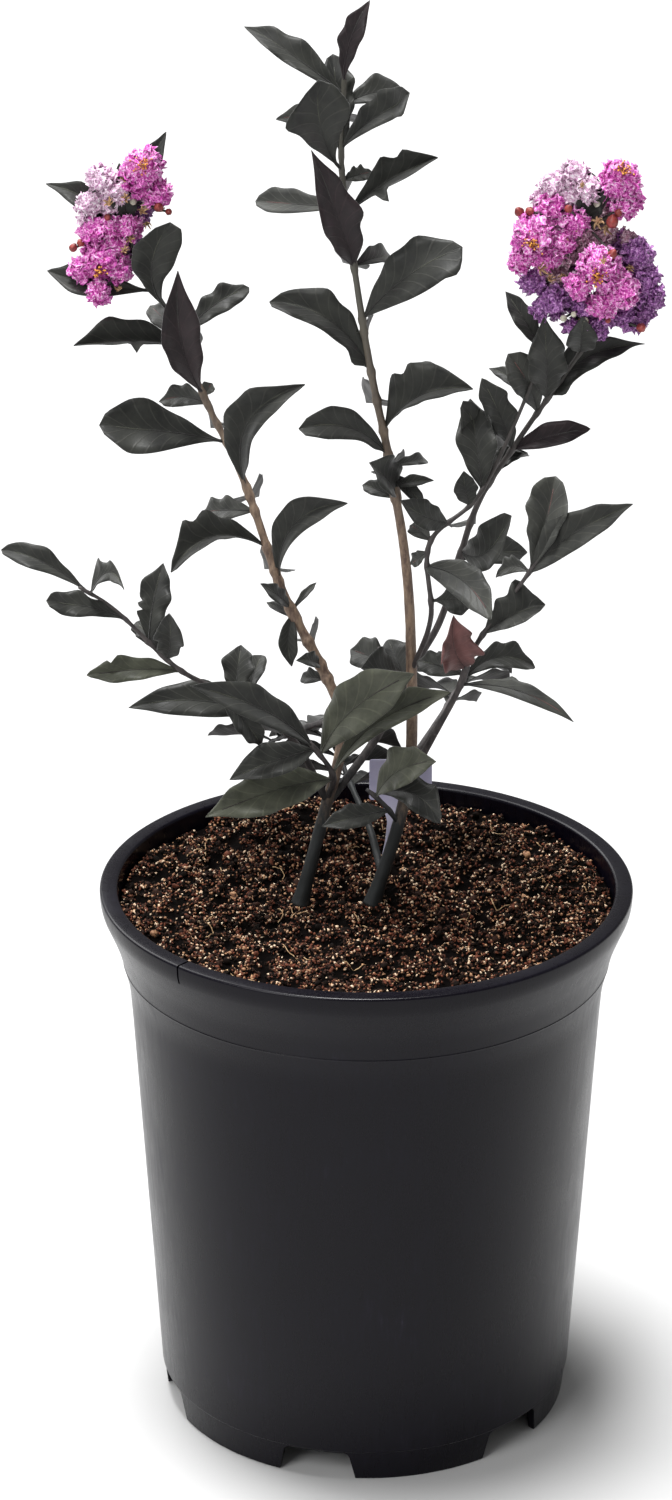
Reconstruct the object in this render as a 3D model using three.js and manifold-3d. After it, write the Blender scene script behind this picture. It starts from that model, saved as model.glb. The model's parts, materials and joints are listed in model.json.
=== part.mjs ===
import * as THREE from 'three';
import { mergeVertices } from 'three/addons/utils/BufferGeometryUtils.js';
import Module from 'manifold-3d';

// A young crape myrtle in a black nursery pot. Two legs rise from the potting mix and fork into thin stems that
// carry dark pointed leaves and two flower heads. Millimetres, +Z up. The origin lies on the pot's axis, on the
// plane the pot stands on, and -Y is the front. Bearings are degrees round Z: 0 is right, 90 is the back.

const clear = 0.3; // gap where two pieces meet
const front = -90; // bearing of the front
const limbSides = 8;
const limbStep = 15;
const twigSides = 4;
const twigStep = 14;
const slack = 0.12; // corners closer than this to a flat face are dropped from a leafy piece
const facets = 36; // flats round the pot and the mix

const pot = {
  height: 299.5,
  footRadius: 109, // at the ground
  footHeight: 17, // the skirt below the wall
  footStep: 0.8, // the skirt sits this far inside the wall
  wallFootRadius: 111.8,
  shoulderRadius: 124.9, // the wall turns out into the collar here
  shoulderHeight: 232,
  coveRadius: 126.2, // a shallow cove leads up to the collar
  coveHeight: 247,
  collarRadius: 129.2,
  collarHeight: 259,
  flareRadius: 132.4, // and the collar flares out to the lip
  flareHeight: 271.5,
  lipFootRadius: 136.4, // the underside of the lip
  lipFootHeight: 281.5,
  lipRadius: 141,
  lipHeight: 291, // the lip's upright face starts here
  lipLean: 0.5, // and leans out by this much
  lipWidth: 9.5,
  lipRound: 2.4,
  wall: 2,
  floorHeight: 16, // underside of the raised floor
  floorRound: 1,
  dishRadius: 36, // the floor dips to the ground inside this radius
  dishSlope: 8,
  notches: 6,
  firstNotch: -104, // bearing of one drainage notch
  notchFoot: 42, // width at the ground
  notchTop: 35,
  notchHeight: 16.5,
  notchRound: 3,
  notchDepth: 14,
  color: 0x26252a,
};

const mix = {
  level: 290,
  bump: 2.6, // height of the uneven surface, each way
  levelRound: 16, // it is level this far round each stem
  rings: 6,
  color: 0x3a2820,
};

// A stem is one tapering limb. It is bare up to `bare`, measured along its route, and leafy beyond.
const stems = {
  left_stem: {
    route: [[-35, -8, 290], [-28, -6, 318], [-21, 0, 344], [-14, 6, 370], [-13, 12, 390], [-23, 20, 413],
      [-44, 30, 453], [-64, 42, 510], [-84, 50, 552], [-101, 54, 595]],
    radius: [3.6, 1.3], flare: 1.7, bare: 115,
  },
  middle_stem: {
    route: [[3, -8, 290], [16, -6, 333], [23, -4, 371], [22.8, 0, 432], [19.7, 0, 481], [10.4, -4, 540],
      [2, -8, 583], [-4.4, -12, 624], [-13, -16, 690], [-12, -18, 740]],
    radius: [3.6, 1.0], flare: 1.7, bare: 215,
  },
  right_stem: {
    route: [[-21, 0, 344], [6, 16, 377], [27, 20, 418], [40, 22, 444], [56, 20, 502], [75, 16, 537],
      [92, 12, 565], [110, 8, 594]],
    radius: [2.4, 1.1], from: 'left_stem', bare: 138,
  },
  low_right_stem: {
    route: [[20, -6, 349], [29, -14, 378], [46, -30, 420], [55, -38, 449], [76, -48, 485], [89, -52, 506]],
    radius: [2.1, 0.9], from: 'middle_stem', bare: 50,
  },
  slim_stem: {
    route: [[23, 0, 419], [32.6, -14, 455], [31.6, -18, 497], [57, -8, 520], [80, 4, 567], [89, 6, 595]],
    radius: [1.5, 0.8], from: 'middle_stem', bare: 45,
  },
  far_left_stem: {
    route: [[-21, 0, 347], [-38, -6, 383], [-64, -20, 411], [-96, -40, 437], [-127, -50, 473],
      [-145, -54, 487]],
    radius: [2.0, 0.8], from: 'left_stem', bare: 52,
  },
  back_stem: {
    route: [[8, -7, 308], [2, 18, 322], [-8, 45, 336], [-16, 70, 346], [-22, 88, 350]],
    radius: [2.2, 0.9], from: 'middle_stem', bare: 45,
  },
  back_left_stem: {
    route: [[-13, 12, 388], [-27, 38, 374], [-42, 66, 356], [-52, 90, 342]],
    radius: [2.0, 0.9], from: 'left_stem', bare: 24,
  },
  back_right_stem: {
    route: [[23, -4, 370], [40, 28, 384], [52, 56, 392], [62, 80, 392]],
    radius: [2.0, 0.9], from: 'middle_stem', bare: 30,
  },
};

// Leaves: [distance along the stem, bearing, rise, length, width, sweep, lean, arch]. Sweep bows the leaf in
// its own plane, to its left as seen from the front, as a share of its length. Lean turns the blade from facing
// up, 0, to facing the front, 90. Arch bows the blade off its chord, again as a share of its length.
const usual = { sweep: 0, lean: 50, arch: 0.08 };

const shoots = {
  left_shoot: {
    stem: 'left_stem', behind: 5,
    leaves: [[126, 140, -15, 20, 8], [134, -130, 25, 20, 8], [161, 130, 5, 24, 4.5],
      [165, -92, -69, 28, 9, -0.08], [166, 45, 30, 21, 3.5, 0, 50, 0.2], [168, -130, 40, 32, 8],
      [183, -20, 50, 64, 16, 0.21], [202, -155, -4, 54, 17, -0.2, 40], [222, 147, -13, 36, 13, 0],
      [235, -30, 61, 70, 18, 0.21], [261, -170, 10, 68, 29, 0], [283, 148, -9, 30, 12, -0.1],
      [288, 40, 44, 8, 7], [289, -113, 69, 80, 18.5, 0.075], [316, -170, 2, 57, 15, -0.02, 40],
      [320, 22, 32, 45, 13, 0.05], [320, 120, 15, 34, 12]],
  },
  middle_shoot: {
    stem: 'middle_stem', behind: 6,
    leaves: [[229, 140, 6, 23, 8], [232, -120, 40, 40, 18], [236, -40, 18, 28, 6], [243, -30, -36, 24, 7],
      [247, 50, -10, 33, 6], [253, -150, 25, 56, 16.5, -0.11], [267, -20, 30, 55, 21, 0.13, 40],
      [300, 170, 34, 62, 19, -0.13], [329, -15, 40, 65, 26, 0.03], [357, -135, 66, 71, 18.5, 0.01],
      [358, 55, -7, 35, 11], [385, 10, 29, 53, 12.5, 0.04, 45], [389, 155, -3, 50, 13, 0.01, 50, 0],
      [403, 30, 5, 17, 8], [408, -120, 65, 57, 26, 0.1], [415, 110, 76, 50, 16, 0],
      [419, -25, 36, 53, 15, 0.04], [438, 165, -12, 34, 9], [441, 30, 3, 36, 15, 0.06],
      [447, 163, 32, 59, 13.5, 0.03, 40], [452, -20, 73, 44, 10.5, 0.06]],
  },
  right_shoot: {
    stem: 'right_stem', behind: 3,
    leaves: [[152, 27, -4, 41, 14], [156, -43, 41, 43, 20, -0.24], [197, -132, 66, 57, 15, -0.03],
      [199, 19, 33, 24, 9, 0.2], [220, -143, 64, 47, 14, 0], [220, -10, 19, 42, 12, 0],
      [244, -149, 62, 39, 19, -0.04], [253, -100, 72, 50, 18], [255, 10, 25, 55, 14.5, 0.15],
      [284, -90, 60, 28, 14]],
  },
  low_right_shoot: {
    stem: 'low_right_stem', behind: 0,
    leaves: [[92, 148, 3, 29, 13], [85, -20, -11, 62, 8.5, 0.08], [88, 27, -1, 43, 13.5, 0.18],
      [96, -128, 71, 34, 19, 0.12], [119, -20, 33, 38, 17, 0.03], [164, 148, -21, 20, 9, -0.22],
      [164, -10, 36, 66, 16.5, 0.05], [165, 46, 69, 49, 19, -0.03]],
  },
  inner_shoot: {
    stem: 'slim_stem', behind: 0,
    leaves: [[50, -26, 10, 26, 18, 0], [78, 131, -42, 15, 7], [70, -50, -17, 52, 17, 0.1],
      [84, 135, 18, 16, 9], [97, -150, 30, 34, 14, 0.1], [111, -156, 79, 20, 11, 0.05],
      [121, 110, 68, 47, 18], [173, 140, 23, 26, 7, -0.1], [199, 157, 54, 35, 11]],
  },
  far_left_shoot: {
    stem: 'far_left_stem', behind: 0,
    leaves: [[64, -164, 11, 73, 18, -0.05], [80, 73, 28, 34, 9, 0], [87, 79, 55, 28, 15],
      [100, 11, -55, 42, 12], [125, -165, 2, 50, 12.5, -0.02], [136, -82, 64, 34, 13, -0.05],
      [140, 128, 28, 25, 10, 0], [150, 62, 67, 41, 15.5, 0.03], [168, -163, 17, 45, 12.5, -0.04],
      [192, -32, 16, 22, 11, 0.45], [194, 170, 25, 48, 12, -0.05]],
  },
  back_shoot: { stem: 'back_stem', leaves: [], behind: 7, spread: 70 },
  back_left_shoot: { stem: 'back_left_stem', leaves: [], behind: 6, spread: 60 },
  back_right_shoot: { stem: 'back_right_stem', leaves: [], behind: 6, spread: 50 },
};

// Leaves on the far side of a shoot grow by rule. On a shoot that has others in front of them their spread is
// narrow and they stand on edge. On a shoot of their own it is wide and they face the back.
const behindLeaf = {
  spread: 12, // degrees each way from straight back
  length: 38,
  longer: 10, // up to this much longer
  width: 0.44, // share of its length
  droop: 22, // degrees
  lean: 40,
  inset: 12, // from the foot of the shoot
};

// A spray is a short twig of a few leaves on the side of a stem.
const sprays = {
  front_spray: {
    route: [[-20, 0, 348], [-18, -9, 366], [-30, -14, 386]], radius: [1.7, 1.1],
    leaves: [[16, -149, -4, 78, 22, -0.02], [20, -19, 39, 87, 15, 0.09], [34, -30, 44, 84, 25, 0.07],
      [38, -147, -4, 52, 18], [40, -154, 33, 86, 17, -0.05]],
  },
  front_right_spray: {
    route: [[17, -6, 336], [9, -13, 350], [0, -14, 359]], radius: [1.5, 1.0],
    leaves: [[12, -153, -2, 40, 12], [26, -38, -5, 44, 17, 0.17, 40], [24, -38, 36, 53, 20, 0.1]],
  },
  middle_spray: {
    route: [[23, 0, 412], [10, 2, 424], [6, 3, 432]], radius: [1.2, 0.8],
    leaves: [[5, 110, 28, 27, 16], [10, -138, 19, 27, 17], [16, 146, 7, 24, 17, 0]],
  },
};

// A flower head is a stalk from the tip of its stem, with rounded lobes of frilled florets, [x, y, z, radius].
const blooms = {
  left_bloom: {
    stem: 'left_stem', seed: 11,
    stalk: [[-112, 53, 615], [-122, 52, 640], [-116, 52, 662]], radius: [1.2, 0.8],
    lobes: [[-113, 52, 672, 12.7], [-106, 50, 660, 8.8], [-137, 54, 667, 7.4], [-127, 54, 661, 7],
      [-139, 50, 653, 7.4], [-136, 50, 643, 8.4], [-123, 50, 640, 9], [-137, 46, 623, 15.6], [-138, 46, 608, 7],
      [-108, 52, 651, 5], [-117, 54, 651, 7], [-124, 66, 656, 10], [-128, 62, 634, 11]],
    leaves: [[3, -88, 72, 48, 22, 0.2], [16, 180, 8, 54, 18, 0.08], [40, 170, 38, 56, 17, -0.1],
      [64, 10, 66, 42, 10], [52, 150, 82, 34, 13]],
  },
  right_bloom: {
    stem: 'right_stem', seed: 5,
    stalk: [[108, 5, 615], [106, 3, 640], [112, 2, 664]], radius: [1.1, 0.8],
    lobes: [[126, 0, 681, 13.3], [107, 6, 683, 9.8], [95, 4, 672, 10], [108, 2, 664, 10.8], [82, -2, 651, 15.2],
      [76, 2, 630, 7], [117, -12, 632, 18.5], [136, 0, 636, 13.8], [144, 4, 616, 8], [88, 2, 622, 12],
      [104, 0, 608, 10], [132, 0, 611, 10], [116, 8, 650, 12.8], [99, 8, 643, 14.6], [112, 18, 668, 10],
      [129, 3, 670, 10], [125, 6, 655, 9], [122, 18, 640, 13], [100, 20, 628, 11]],
    leaves: [[58, 100, 84, 36, 13], [66, 170, 76, 36, 10]],
  },
};

const blossom = {
  core: 1.12, // the packed florets of a lobe, as a share of its radius
  crinkle: 0.2, // how far the florets stand in and out, as a share of it
  twig: 0.9,
  forks: [0.3, 0.5, 0.7, 0.9], // where the twigs leave the stalk, as shares of it
};

const tag = {
  width: 33,
  height: 22,
  thickness: 0.9,
  corner: 1.5,
  middle: [18, 9, 354.5],
  lean: 8, // degrees back from upright
  stake: [[14, -3, 0], [8, -3, 12], [4, -6, 22], [2.6, -14.5, 62]], // width, side shift, drop below the card
  color: 0xb9b5cf,
};

const bark = 0x5f4a3c;
const darkBark = 0x2c2a2b;
const leafColor = 0x3a3c38;
const petalColor = 0xc95fc0;

const wasm = await Module();
wasm.setup();

function vector([x, y, z]) {
  return new THREE.Vector3(x, y, z);
}

function seededRandom(seed) {
  let state = seed;
  return () => {
    state = (state * 1664525 + 1013904223) % 4294967296;
    return state / 4294967296;
  };
}

function direction(bearing, rise) {
  const turn = THREE.MathUtils.degToRad(bearing);
  const lift = THREE.MathUtils.degToRad(rise);
  return new THREE.Vector3(Math.cos(turn) * Math.cos(lift), Math.sin(turn) * Math.cos(lift), Math.sin(lift));
}

function signedVolume(positions, triangles) {
  const [a, b, c] = [new THREE.Vector3(), new THREE.Vector3(), new THREE.Vector3()];
  let volume = 0;
  for (let i = 0; i < triangles.length; i += 3) {
    a.fromArray(positions, triangles[i] * 3);
    b.fromArray(positions, triangles[i + 1] * 3);
    c.fromArray(positions, triangles[i + 2] * 3);
    volume += a.dot(b.cross(c)) / 6;
  }
  return volume;
}

// A closed geometry becomes a solid: its shared corners are merged, flat triangles dropped, faces turned out.
function toSolid(geometry) {
  const bare = geometry.clone();
  bare.deleteAttribute('normal');
  bare.deleteAttribute('uv');
  const merged = mergeVertices(bare, 1e-4);
  const positions = merged.attributes.position.array;
  const triangles = [];
  for (let i = 0; i < merged.index.count; i += 3) {
    const [a, b, c] = [merged.index.getX(i), merged.index.getX(i + 1), merged.index.getX(i + 2)];
    if (a !== b && b !== c && c !== a) triangles.push(a, b, c);
  }
  if (signedVolume(positions, triangles) < 0) triangles.reverse();
  return new wasm.Manifold(new wasm.Mesh({
    numProp: 3,
    vertProperties: new Float32Array(positions),
    triVerts: new Uint32Array(triangles),
  }));
}

function toGeometry(solid) {
  const mesh = solid.getMesh();
  const geometry = new THREE.BufferGeometry();
  geometry.setAttribute('position', new THREE.BufferAttribute(mesh.vertProperties, 3));
  geometry.setIndex(new THREE.BufferAttribute(mesh.triVerts, 1));
  geometry.computeVertexNormals();
  return geometry;
}

// Rings of corners, each joined to the next, with both ends closed. A ring of one corner is a point.
function loft(rings) {
  const positions = rings.flat().flatMap((corner) => corner.toArray());
  const triangles = [];
  let start = 0;
  for (let r = 0; r + 1 < rings.length; r++) {
    const [near, far] = [rings[r].length, rings[r + 1].length];
    const next = start + near;
    const sides = Math.max(near, far);
    for (let i = 0; i < sides; i++) {
      const j = (i + 1) % sides;
      if (near > 1) triangles.push(start + i, start + j, next + (far > 1 ? i : 0));
      if (far > 1) triangles.push(start + (near > 1 ? j : 0), next + j, next + i);
    }
    start = next;
  }
  const last = rings.at(-1).length;
  for (let i = 1; i + 1 < rings[0].length; i++) triangles.push(0, i + 1, i);
  for (let i = 1; i + 1 < last; i++) triangles.push(start, start + i, start + i + 1);
  const geometry = new THREE.BufferGeometry();
  geometry.setAttribute('position', new THREE.Float32BufferAttribute(positions, 3));
  geometry.setIndex(triangles);
  return toSolid(geometry);
}

// A round limb along a curve, from one distance along it to another, with a radius for each distance.
function limb(curve, from, to, radiusAt, sides, step) {
  const length = curve.getLength();
  const count = Math.max(2, Math.round((to - from) / step));
  const across = new THREE.Vector3(0.31, -0.87, 0.12);
  const rings = [];
  for (let i = 0; i <= count; i++) {
    const distance = from + ((to - from) * i) / count;
    const share = THREE.MathUtils.clamp(distance / length, 0, 1);
    const tangent = curve.getTangentAt(share);
    const middle = curve.getPointAt(share);
    across.addScaledVector(tangent, -across.dot(tangent)).normalize();
    const other = tangent.clone().cross(across);
    const radius = radiusAt(distance);
    const ring = [];
    for (let k = 0; k < sides; k++) {
      const turn = (k / sides) * 2 * Math.PI;
      ring.push(middle.clone()
        .addScaledVector(across, radius * Math.cos(turn))
        .addScaledVector(other, radius * Math.sin(turn)));
    }
    rings.push(ring);
  }
  return loft(rings);
}

function taper({ radius, flare = 0 }, length) {
  const flareLength = 9;
  return (distance) => radius[0] + ((radius[1] - radius[0]) * distance) / length
    + flare * Math.exp(-distance / flareLength);
}

// One leaf: a pointed blade folded a little along its midrib and bowed along its length. Each section has a
// left edge, a top, a right edge and an underside, and is [share of length, half width, thickness, fold].
const petiole = 0.9;
const sections = [[0.18, 0.22, 0.8, 0.06], [0.46, 0.53, 0.7, 0.15], [0.76, 0.48, 0.6, 0.13]];
const shortSections = [[0.36, 0.42, 0.8, 0.1], [0.72, 0.48, 0.6, 0.12]];
const shortLeaf = 30;

// The bearing that a leaf's blade faces.
const toFront = () => front;
const toBack = () => front + 180;
const onEdge = (bearing) => bearing + (bearing < toBack() ? 90 : -90);

function leafSolid(root, leaf, facing) {
  const [, bearing, rise, length, width, sweep = usual.sweep, lean = usual.lean, arch = usual.arch] = leaf;
  const along = direction(bearing, rise);
  const face = direction(facing(bearing), 90 - lean);
  face.addScaledVector(along, -face.dot(along)).normalize();
  const side = along.clone().cross(face);
  const thick = Math.max(1, length / 70);
  const blade = length < shortLeaf ? shortSections : sections;
  const rings = [[0, petiole / width, 1, 0], ...blade].map(([share, half, depth, fold]) => {
    const bow = length * 4 * share * (1 - share);
    const middle = root.clone()
      .addScaledVector(along, share * length)
      .addScaledVector(face, arch * bow)
      .addScaledVector(side, -sweep * bow);
    const edge = middle.clone().addScaledVector(face, fold * width);
    return [
      edge.clone().addScaledVector(side, -half * width),
      middle.clone().addScaledVector(face, thick * depth / 2),
      edge.clone().addScaledVector(side, half * width),
      middle.clone().addScaledVector(face, -thick * depth / 2),
    ];
  });
  rings.push([root.clone().addScaledVector(along, length)]);
  return loft(rings);
}

function boxesMeet(a, b) {
  return [0, 1, 2].every((k) => a.min[k] < b.max[k] && b.min[k] < a.max[k]);
}

function meets(solid, others) {
  const box = solid.boundingBox();
  return others.some((other) => boxesMeet(box, other.boundingBox()) && !solid.intersect(other).isEmpty());
}

// The largest piece of a solid, so that no loose scrap stays.
function wholePiece(solid) {
  const pieces = solid.decompose();
  return pieces.reduce((best, piece) => (piece.volume() > best.volume() ? piece : best));
}

const built = {}; // the finished solid of each node
const fat = {}; // each stem and twig grown by the clearance: other pieces are cut by it and keep off it

function obstacles(own) {
  const solids = { ...built, ...fat };
  delete solids[own];
  return Object.values(solids);
}

function cutClear(solid, own) {
  const near = obstacles(own).filter((other) => boxesMeet(solid.boundingBox(), other.boundingBox()));
  return wholePiece(near.reduce((left, other) => left.subtract(other), solid)).simplify(slack);
}

// A leaf that would touch another piece is swung round its root until it is free, or left out.
function freeLeaf(root, leaf, facing, others) {
  for (const swing of [0, 7, -7, 14, -14, 21, -21]) {
    const [at, bearing, ...rest] = leaf;
    const solid = leafSolid(root, [at, bearing + swing, ...rest], facing);
    if (!meets(solid, others)) return [solid];
  }
  return [];
}

function leavesBehind(count, spread, first, length, seed) {
  const random = seededRandom(seed);
  const leaves = [];
  for (let i = 0; i < count; i++) {
    const at = first + ((length - first) * (i + 0.5)) / count;
    const turn = (i % 2 ? 1 : -1) * spread * (0.4 + 0.6 * random());
    const size = behindLeaf.length + behindLeaf.longer * random();
    const droop = behindLeaf.droop * Math.cos(THREE.MathUtils.degToRad(turn));
    leaves.push([at, toBack() + turn, -droop, size, size * behindLeaf.width, 0, behindLeaf.lean]);
  }
  return leaves;
}

function addLeaves(solid, curve, leaves, facing, others) {
  const length = curve.getLength();
  const blades = leaves.flatMap((leaf) => {
    const root = curve.getPointAt(THREE.MathUtils.clamp(leaf[0] / length, 0, 1));
    return freeLeaf(root, leaf, facing, others);
  });
  return wasm.Manifold.union([solid, ...blades]);
}

function makePot() {
  const { height, wall, floorHeight, floorRound } = pot;
  const lipInner = pot.lipRadius - pot.lipWidth;
  const lipTop = height - pot.lipRound;
  const outline = [
    [0, 0], [pot.dishRadius, 0], [pot.dishRadius + pot.dishSlope, floorHeight],
    [pot.footRadius - 2 * wall, floorHeight], [pot.footRadius - 2 * wall, 0], [pot.footRadius, 0],
    [pot.wallFootRadius - pot.footStep, pot.footHeight], [pot.wallFootRadius, pot.footHeight + pot.footStep],
    [pot.shoulderRadius, pot.shoulderHeight], [pot.coveRadius, pot.coveHeight],
    [pot.collarRadius, pot.collarHeight], [pot.flareRadius, pot.flareHeight],
    [pot.lipFootRadius, pot.lipFootHeight], [pot.lipRadius - pot.lipLean, pot.lipHeight],
    [pot.lipRadius, lipTop], [pot.lipRadius - pot.lipRound, height],
    [lipInner + pot.lipRound, height], [lipInner, lipTop],
    [pot.flareRadius - wall, pot.flareHeight], [pot.collarRadius - wall, pot.collarHeight],
    [pot.coveRadius - wall, pot.coveHeight], [pot.wallFootRadius - wall, floorHeight + wall + floorRound],
    [pot.wallFootRadius - wall - floorRound, floorHeight + wall],
    [pot.dishRadius + pot.dishSlope - floorRound, floorHeight + wall], [pot.dishRadius - floorRound, wall],
    [0, wall],
  ];
  const shell = toSolid(turned(outline));
  return notchCutters().reduce((left, cutter) => left.subtract(cutter), shell);
}

// An outline of [radius, height] turned round the pot's axis.
function turned(outline) {
  return new THREE.LatheGeometry(outline.map(([r, z]) => new THREE.Vector2(r, z)), facets).rotateX(Math.PI / 2);
}

// The drainage notches are cut through the foot. Each is narrower at the top, with rounded corners.
function notchCutters() {
  const { notchFoot, notchTop, notchHeight, notchRound, notchDepth } = pot;
  const below = -1;
  const past = 8; // the cutter runs on past the wall
  const shape = new THREE.Shape()
    .moveTo(-notchFoot / 2, below)
    .lineTo(notchFoot / 2, below)
    .lineTo(notchTop / 2, notchHeight - notchRound)
    .quadraticCurveTo(notchTop / 2, notchHeight, notchTop / 2 - notchRound, notchHeight)
    .lineTo(notchRound - notchTop / 2, notchHeight)
    .quadraticCurveTo(-notchTop / 2, notchHeight, -notchTop / 2, notchHeight - notchRound)
    .lineTo(-notchFoot / 2, below);
  const cutters = [];
  for (let i = 0; i < pot.notches; i++) {
    const bearing = pot.firstNotch + (i * 360) / pot.notches;
    const options = { depth: notchDepth + past, bevelEnabled: false, curveSegments: 2 };
    const block = new THREE.ExtrudeGeometry(shape, options)
      .rotateX(Math.PI / 2)
      .translate(0, notchDepth - pot.footRadius, 0)
      .rotateZ(THREE.MathUtils.degToRad(bearing - front));
    cutters.push(toSolid(block));
  }
  return cutters;
}

// How far the mix rises or sinks at a place. It is level round each stem that stands in it.
function mixHeight(x, y) {
  const feet = [stems.left_stem.route[0], stems.middle_stem.route[0]];
  const wave = Math.sin(x * 0.071 + 0.6) * Math.cos(y * 0.083 - 1.1) + 0.6 * Math.sin((x - y) * 0.117);
  const nearest = Math.min(...feet.map(([fx, fy]) => Math.hypot(x - fx, y - fy)));
  return mix.bump * 0.6 * wave * THREE.MathUtils.smoothstep(nearest, mix.levelRound, 2.2 * mix.levelRound);
}

function makeMix() {
  const gap = clear + 0.05;
  const { wall, floorRound, dishRadius, dishSlope } = pot;
  const floorTop = pot.floorHeight + wall + gap;
  const dishInner = dishRadius - floorRound - gap;
  const rimRadius = pot.flareRadius - wall - gap;
  const rounding = 1.5; // the mix falls away by this much at its rim
  const outline = [
    [0, wall + gap], [dishInner - gap, wall + gap], [dishInner + dishSlope - gap, floorTop],
    [pot.wallFootRadius - wall - 2 * floorRound, floorTop],
    [pot.coveRadius - wall - gap, pot.coveHeight], [pot.collarRadius - wall - gap, pot.collarHeight],
    [rimRadius, pot.flareHeight], [rimRadius, mix.level - rounding],
  ];
  for (let i = 0; i <= mix.rings; i++) {
    outline.push([(rimRadius - rounding) * (1 - i / mix.rings), mix.level]);
  }
  const geometry = turned(outline);
  const place = geometry.attributes.position;
  for (let i = 0; i < place.count; i++) {
    const [x, y, z] = [place.getX(i), place.getY(i), place.getZ(i)];
    if (z === mix.level) place.setZ(i, z + mixHeight(x, y));
  }
  return toSolid(geometry);
}

// All that lies under the level of the mix, to cut a foot off flat.
function underMix() {
  const [reach, depth] = [300, 40];
  return toSolid(new THREE.BoxGeometry(reach, reach, depth).translate(0, 0, mix.level + clear - depth / 2));
}

function makeTag() {
  const { width, height, corner, thickness, stake } = tag;
  const [right, top] = [width / 2, height / 2];
  const outline = new THREE.Shape()
    .moveTo(corner - right, -top)
    .quadraticCurveTo(-right, -top, -right, corner - top)
    .lineTo(-right, top - corner)
    .quadraticCurveTo(-right, top, corner - right, top)
    .lineTo(right - corner, top)
    .quadraticCurveTo(right, top, right, top - corner)
    .lineTo(right, corner - top)
    .quadraticCurveTo(right, -top, right - corner, -top);
  for (const [wide, middle, drop] of stake) outline.lineTo(middle + wide / 2, -top - drop);
  for (const [wide, middle, drop] of stake.toReversed()) outline.lineTo(middle - wide / 2, -top - drop);
  const plate = new THREE.ExtrudeGeometry(outline, { depth: thickness, bevelEnabled: false, curveSegments: 4 })
    .translate(0, 0, -thickness / 2)
    .rotateX(Math.PI / 2 - THREE.MathUtils.degToRad(tag.lean))
    .translate(...tag.middle);
  return toSolid(plate).subtract(underMix());
}

function makeStem(name) {
  const stem = stems[name];
  const radiusAt = taper(stem, stem.curve.getLength());
  const solid = limb(stem.curve, 0, stem.bare, radiusAt, limbSides, limbStep);
  fat[name] = limb(stem.curve, 0, stem.bare + clear, (d) => radiusAt(d) + clear, limbSides, limbStep);
  return stem.from ? cutClear(solid, name) : solid.subtract(underMix());
}

// The twigs come before any leaf, so that leaves keep off the twigs of every other piece.
function shootTwig(name, grow) {
  const stem = stems[shoots[name].stem];
  const length = stem.curve.getLength();
  const radiusAt = taper(stem, length);
  return limb(stem.curve, stem.bare + clear, length, (d) => radiusAt(d) + grow, twigSides, twigStep);
}

function makeShoot(name, seed) {
  const { stem, leaves, behind, spread = behindLeaf.spread } = shoots[name];
  const { curve, bare } = stems[stem];
  const others = obstacles(name);
  const shown = addLeaves(shootTwig(name, 0), curve, leaves, toFront, others);
  const hidden = leavesBehind(behind, spread, bare + behindLeaf.inset, curve.getLength(), seed);
  return cutClear(addLeaves(shown, curve, hidden, leaves.length ? onEdge : toBack, others), name);
}

function makeSpray(name) {
  const spray = sprays[name];
  const length = spray.curve.getLength();
  const twig = limb(spray.curve, 0, length, taper(spray, length), twigSides, twigStep);
  return cutClear(addLeaves(twig, spray.curve, spray.leaves, toFront, obstacles(name)), name);
}

function twigBetween(a, b, radius) {
  const line = new THREE.LineCurve3(a, b);
  return limb(line, 0, line.getLength(), () => radius, 3, line.getLength());
}

// A lobe of packed florets is a ball whose surface is crinkled in and out.
function lobeSolid(heart, radius, random) {
  const smooth = new THREE.IcosahedronGeometry(radius, 1).deleteAttribute('normal').deleteAttribute('uv');
  const ball = mergeVertices(smooth);
  const corner = ball.attributes.position;
  for (let i = 0; i < corner.count; i++) {
    const stretch = blossom.core * (1 - blossom.crinkle * random());
    corner.setXYZ(i, corner.getX(i) * stretch, corner.getY(i) * stretch, corner.getZ(i) * stretch);
  }
  return toSolid(ball.translate(...heart));
}

// Each lobe is carried by a twig from the nearest fork of the stalk.
function makeBloom(name) {
  const bloom = blooms[name];
  const random = seededRandom(bloom.seed);
  const { curve } = bloom;
  const length = curve.getLength();
  const forks = blossom.forks.map((share) => curve.getPointAt(share));
  const parts = [limb(curve, clear, length, taper(bloom, length), twigSides, twigStep)];
  for (const [x, y, z, radius] of bloom.lobes) {
    const heart = new THREE.Vector3(x, y, z);
    const fork = forks.reduce((best, p) => (p.distanceTo(heart) < best.distanceTo(heart) ? p : best));
    parts.push(twigBetween(fork, heart, blossom.twig), lobeSolid(heart, radius, random));
  }
  const head = wasm.Manifold.union(parts);
  return cutClear(addLeaves(head, curve, bloom.leaves, toFront, obstacles(name)), name);
}

function place(group, name, color, roughness, solid) {
  const material = new THREE.MeshStandardMaterial({ color, roughness, metalness: 0 });
  const mesh = new THREE.Mesh(toGeometry(solid), material);
  mesh.name = name;
  group.add(mesh);
}

for (const bloom of Object.values(blooms)) bloom.route = [stems[bloom.stem].route.at(-1), ...bloom.stalk];

for (const piece of [stems, sprays, blooms].flatMap(Object.values)) {
  piece.curve = new THREE.CatmullRomCurve3(piece.route.map(vector), false, 'catmullrom');
}

const group = new THREE.Group();

built.pot = makePot();
built.potting_mix = makeMix();
place(group, 'pot', pot.color, 0.45, built.pot);
place(group, 'potting_mix', mix.color, 0.95, built.potting_mix);

for (const name of Object.keys(stems)) {
  built[name] = makeStem(name);
  place(group, name, stems[name].from ? darkBark : bark, 0.8, built[name]);
}

built.tag = makeTag();
place(group, 'tag', tag.color, 0.5, built.tag);

for (const name of Object.keys(shoots)) fat[name] = shootTwig(name, clear);

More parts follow.
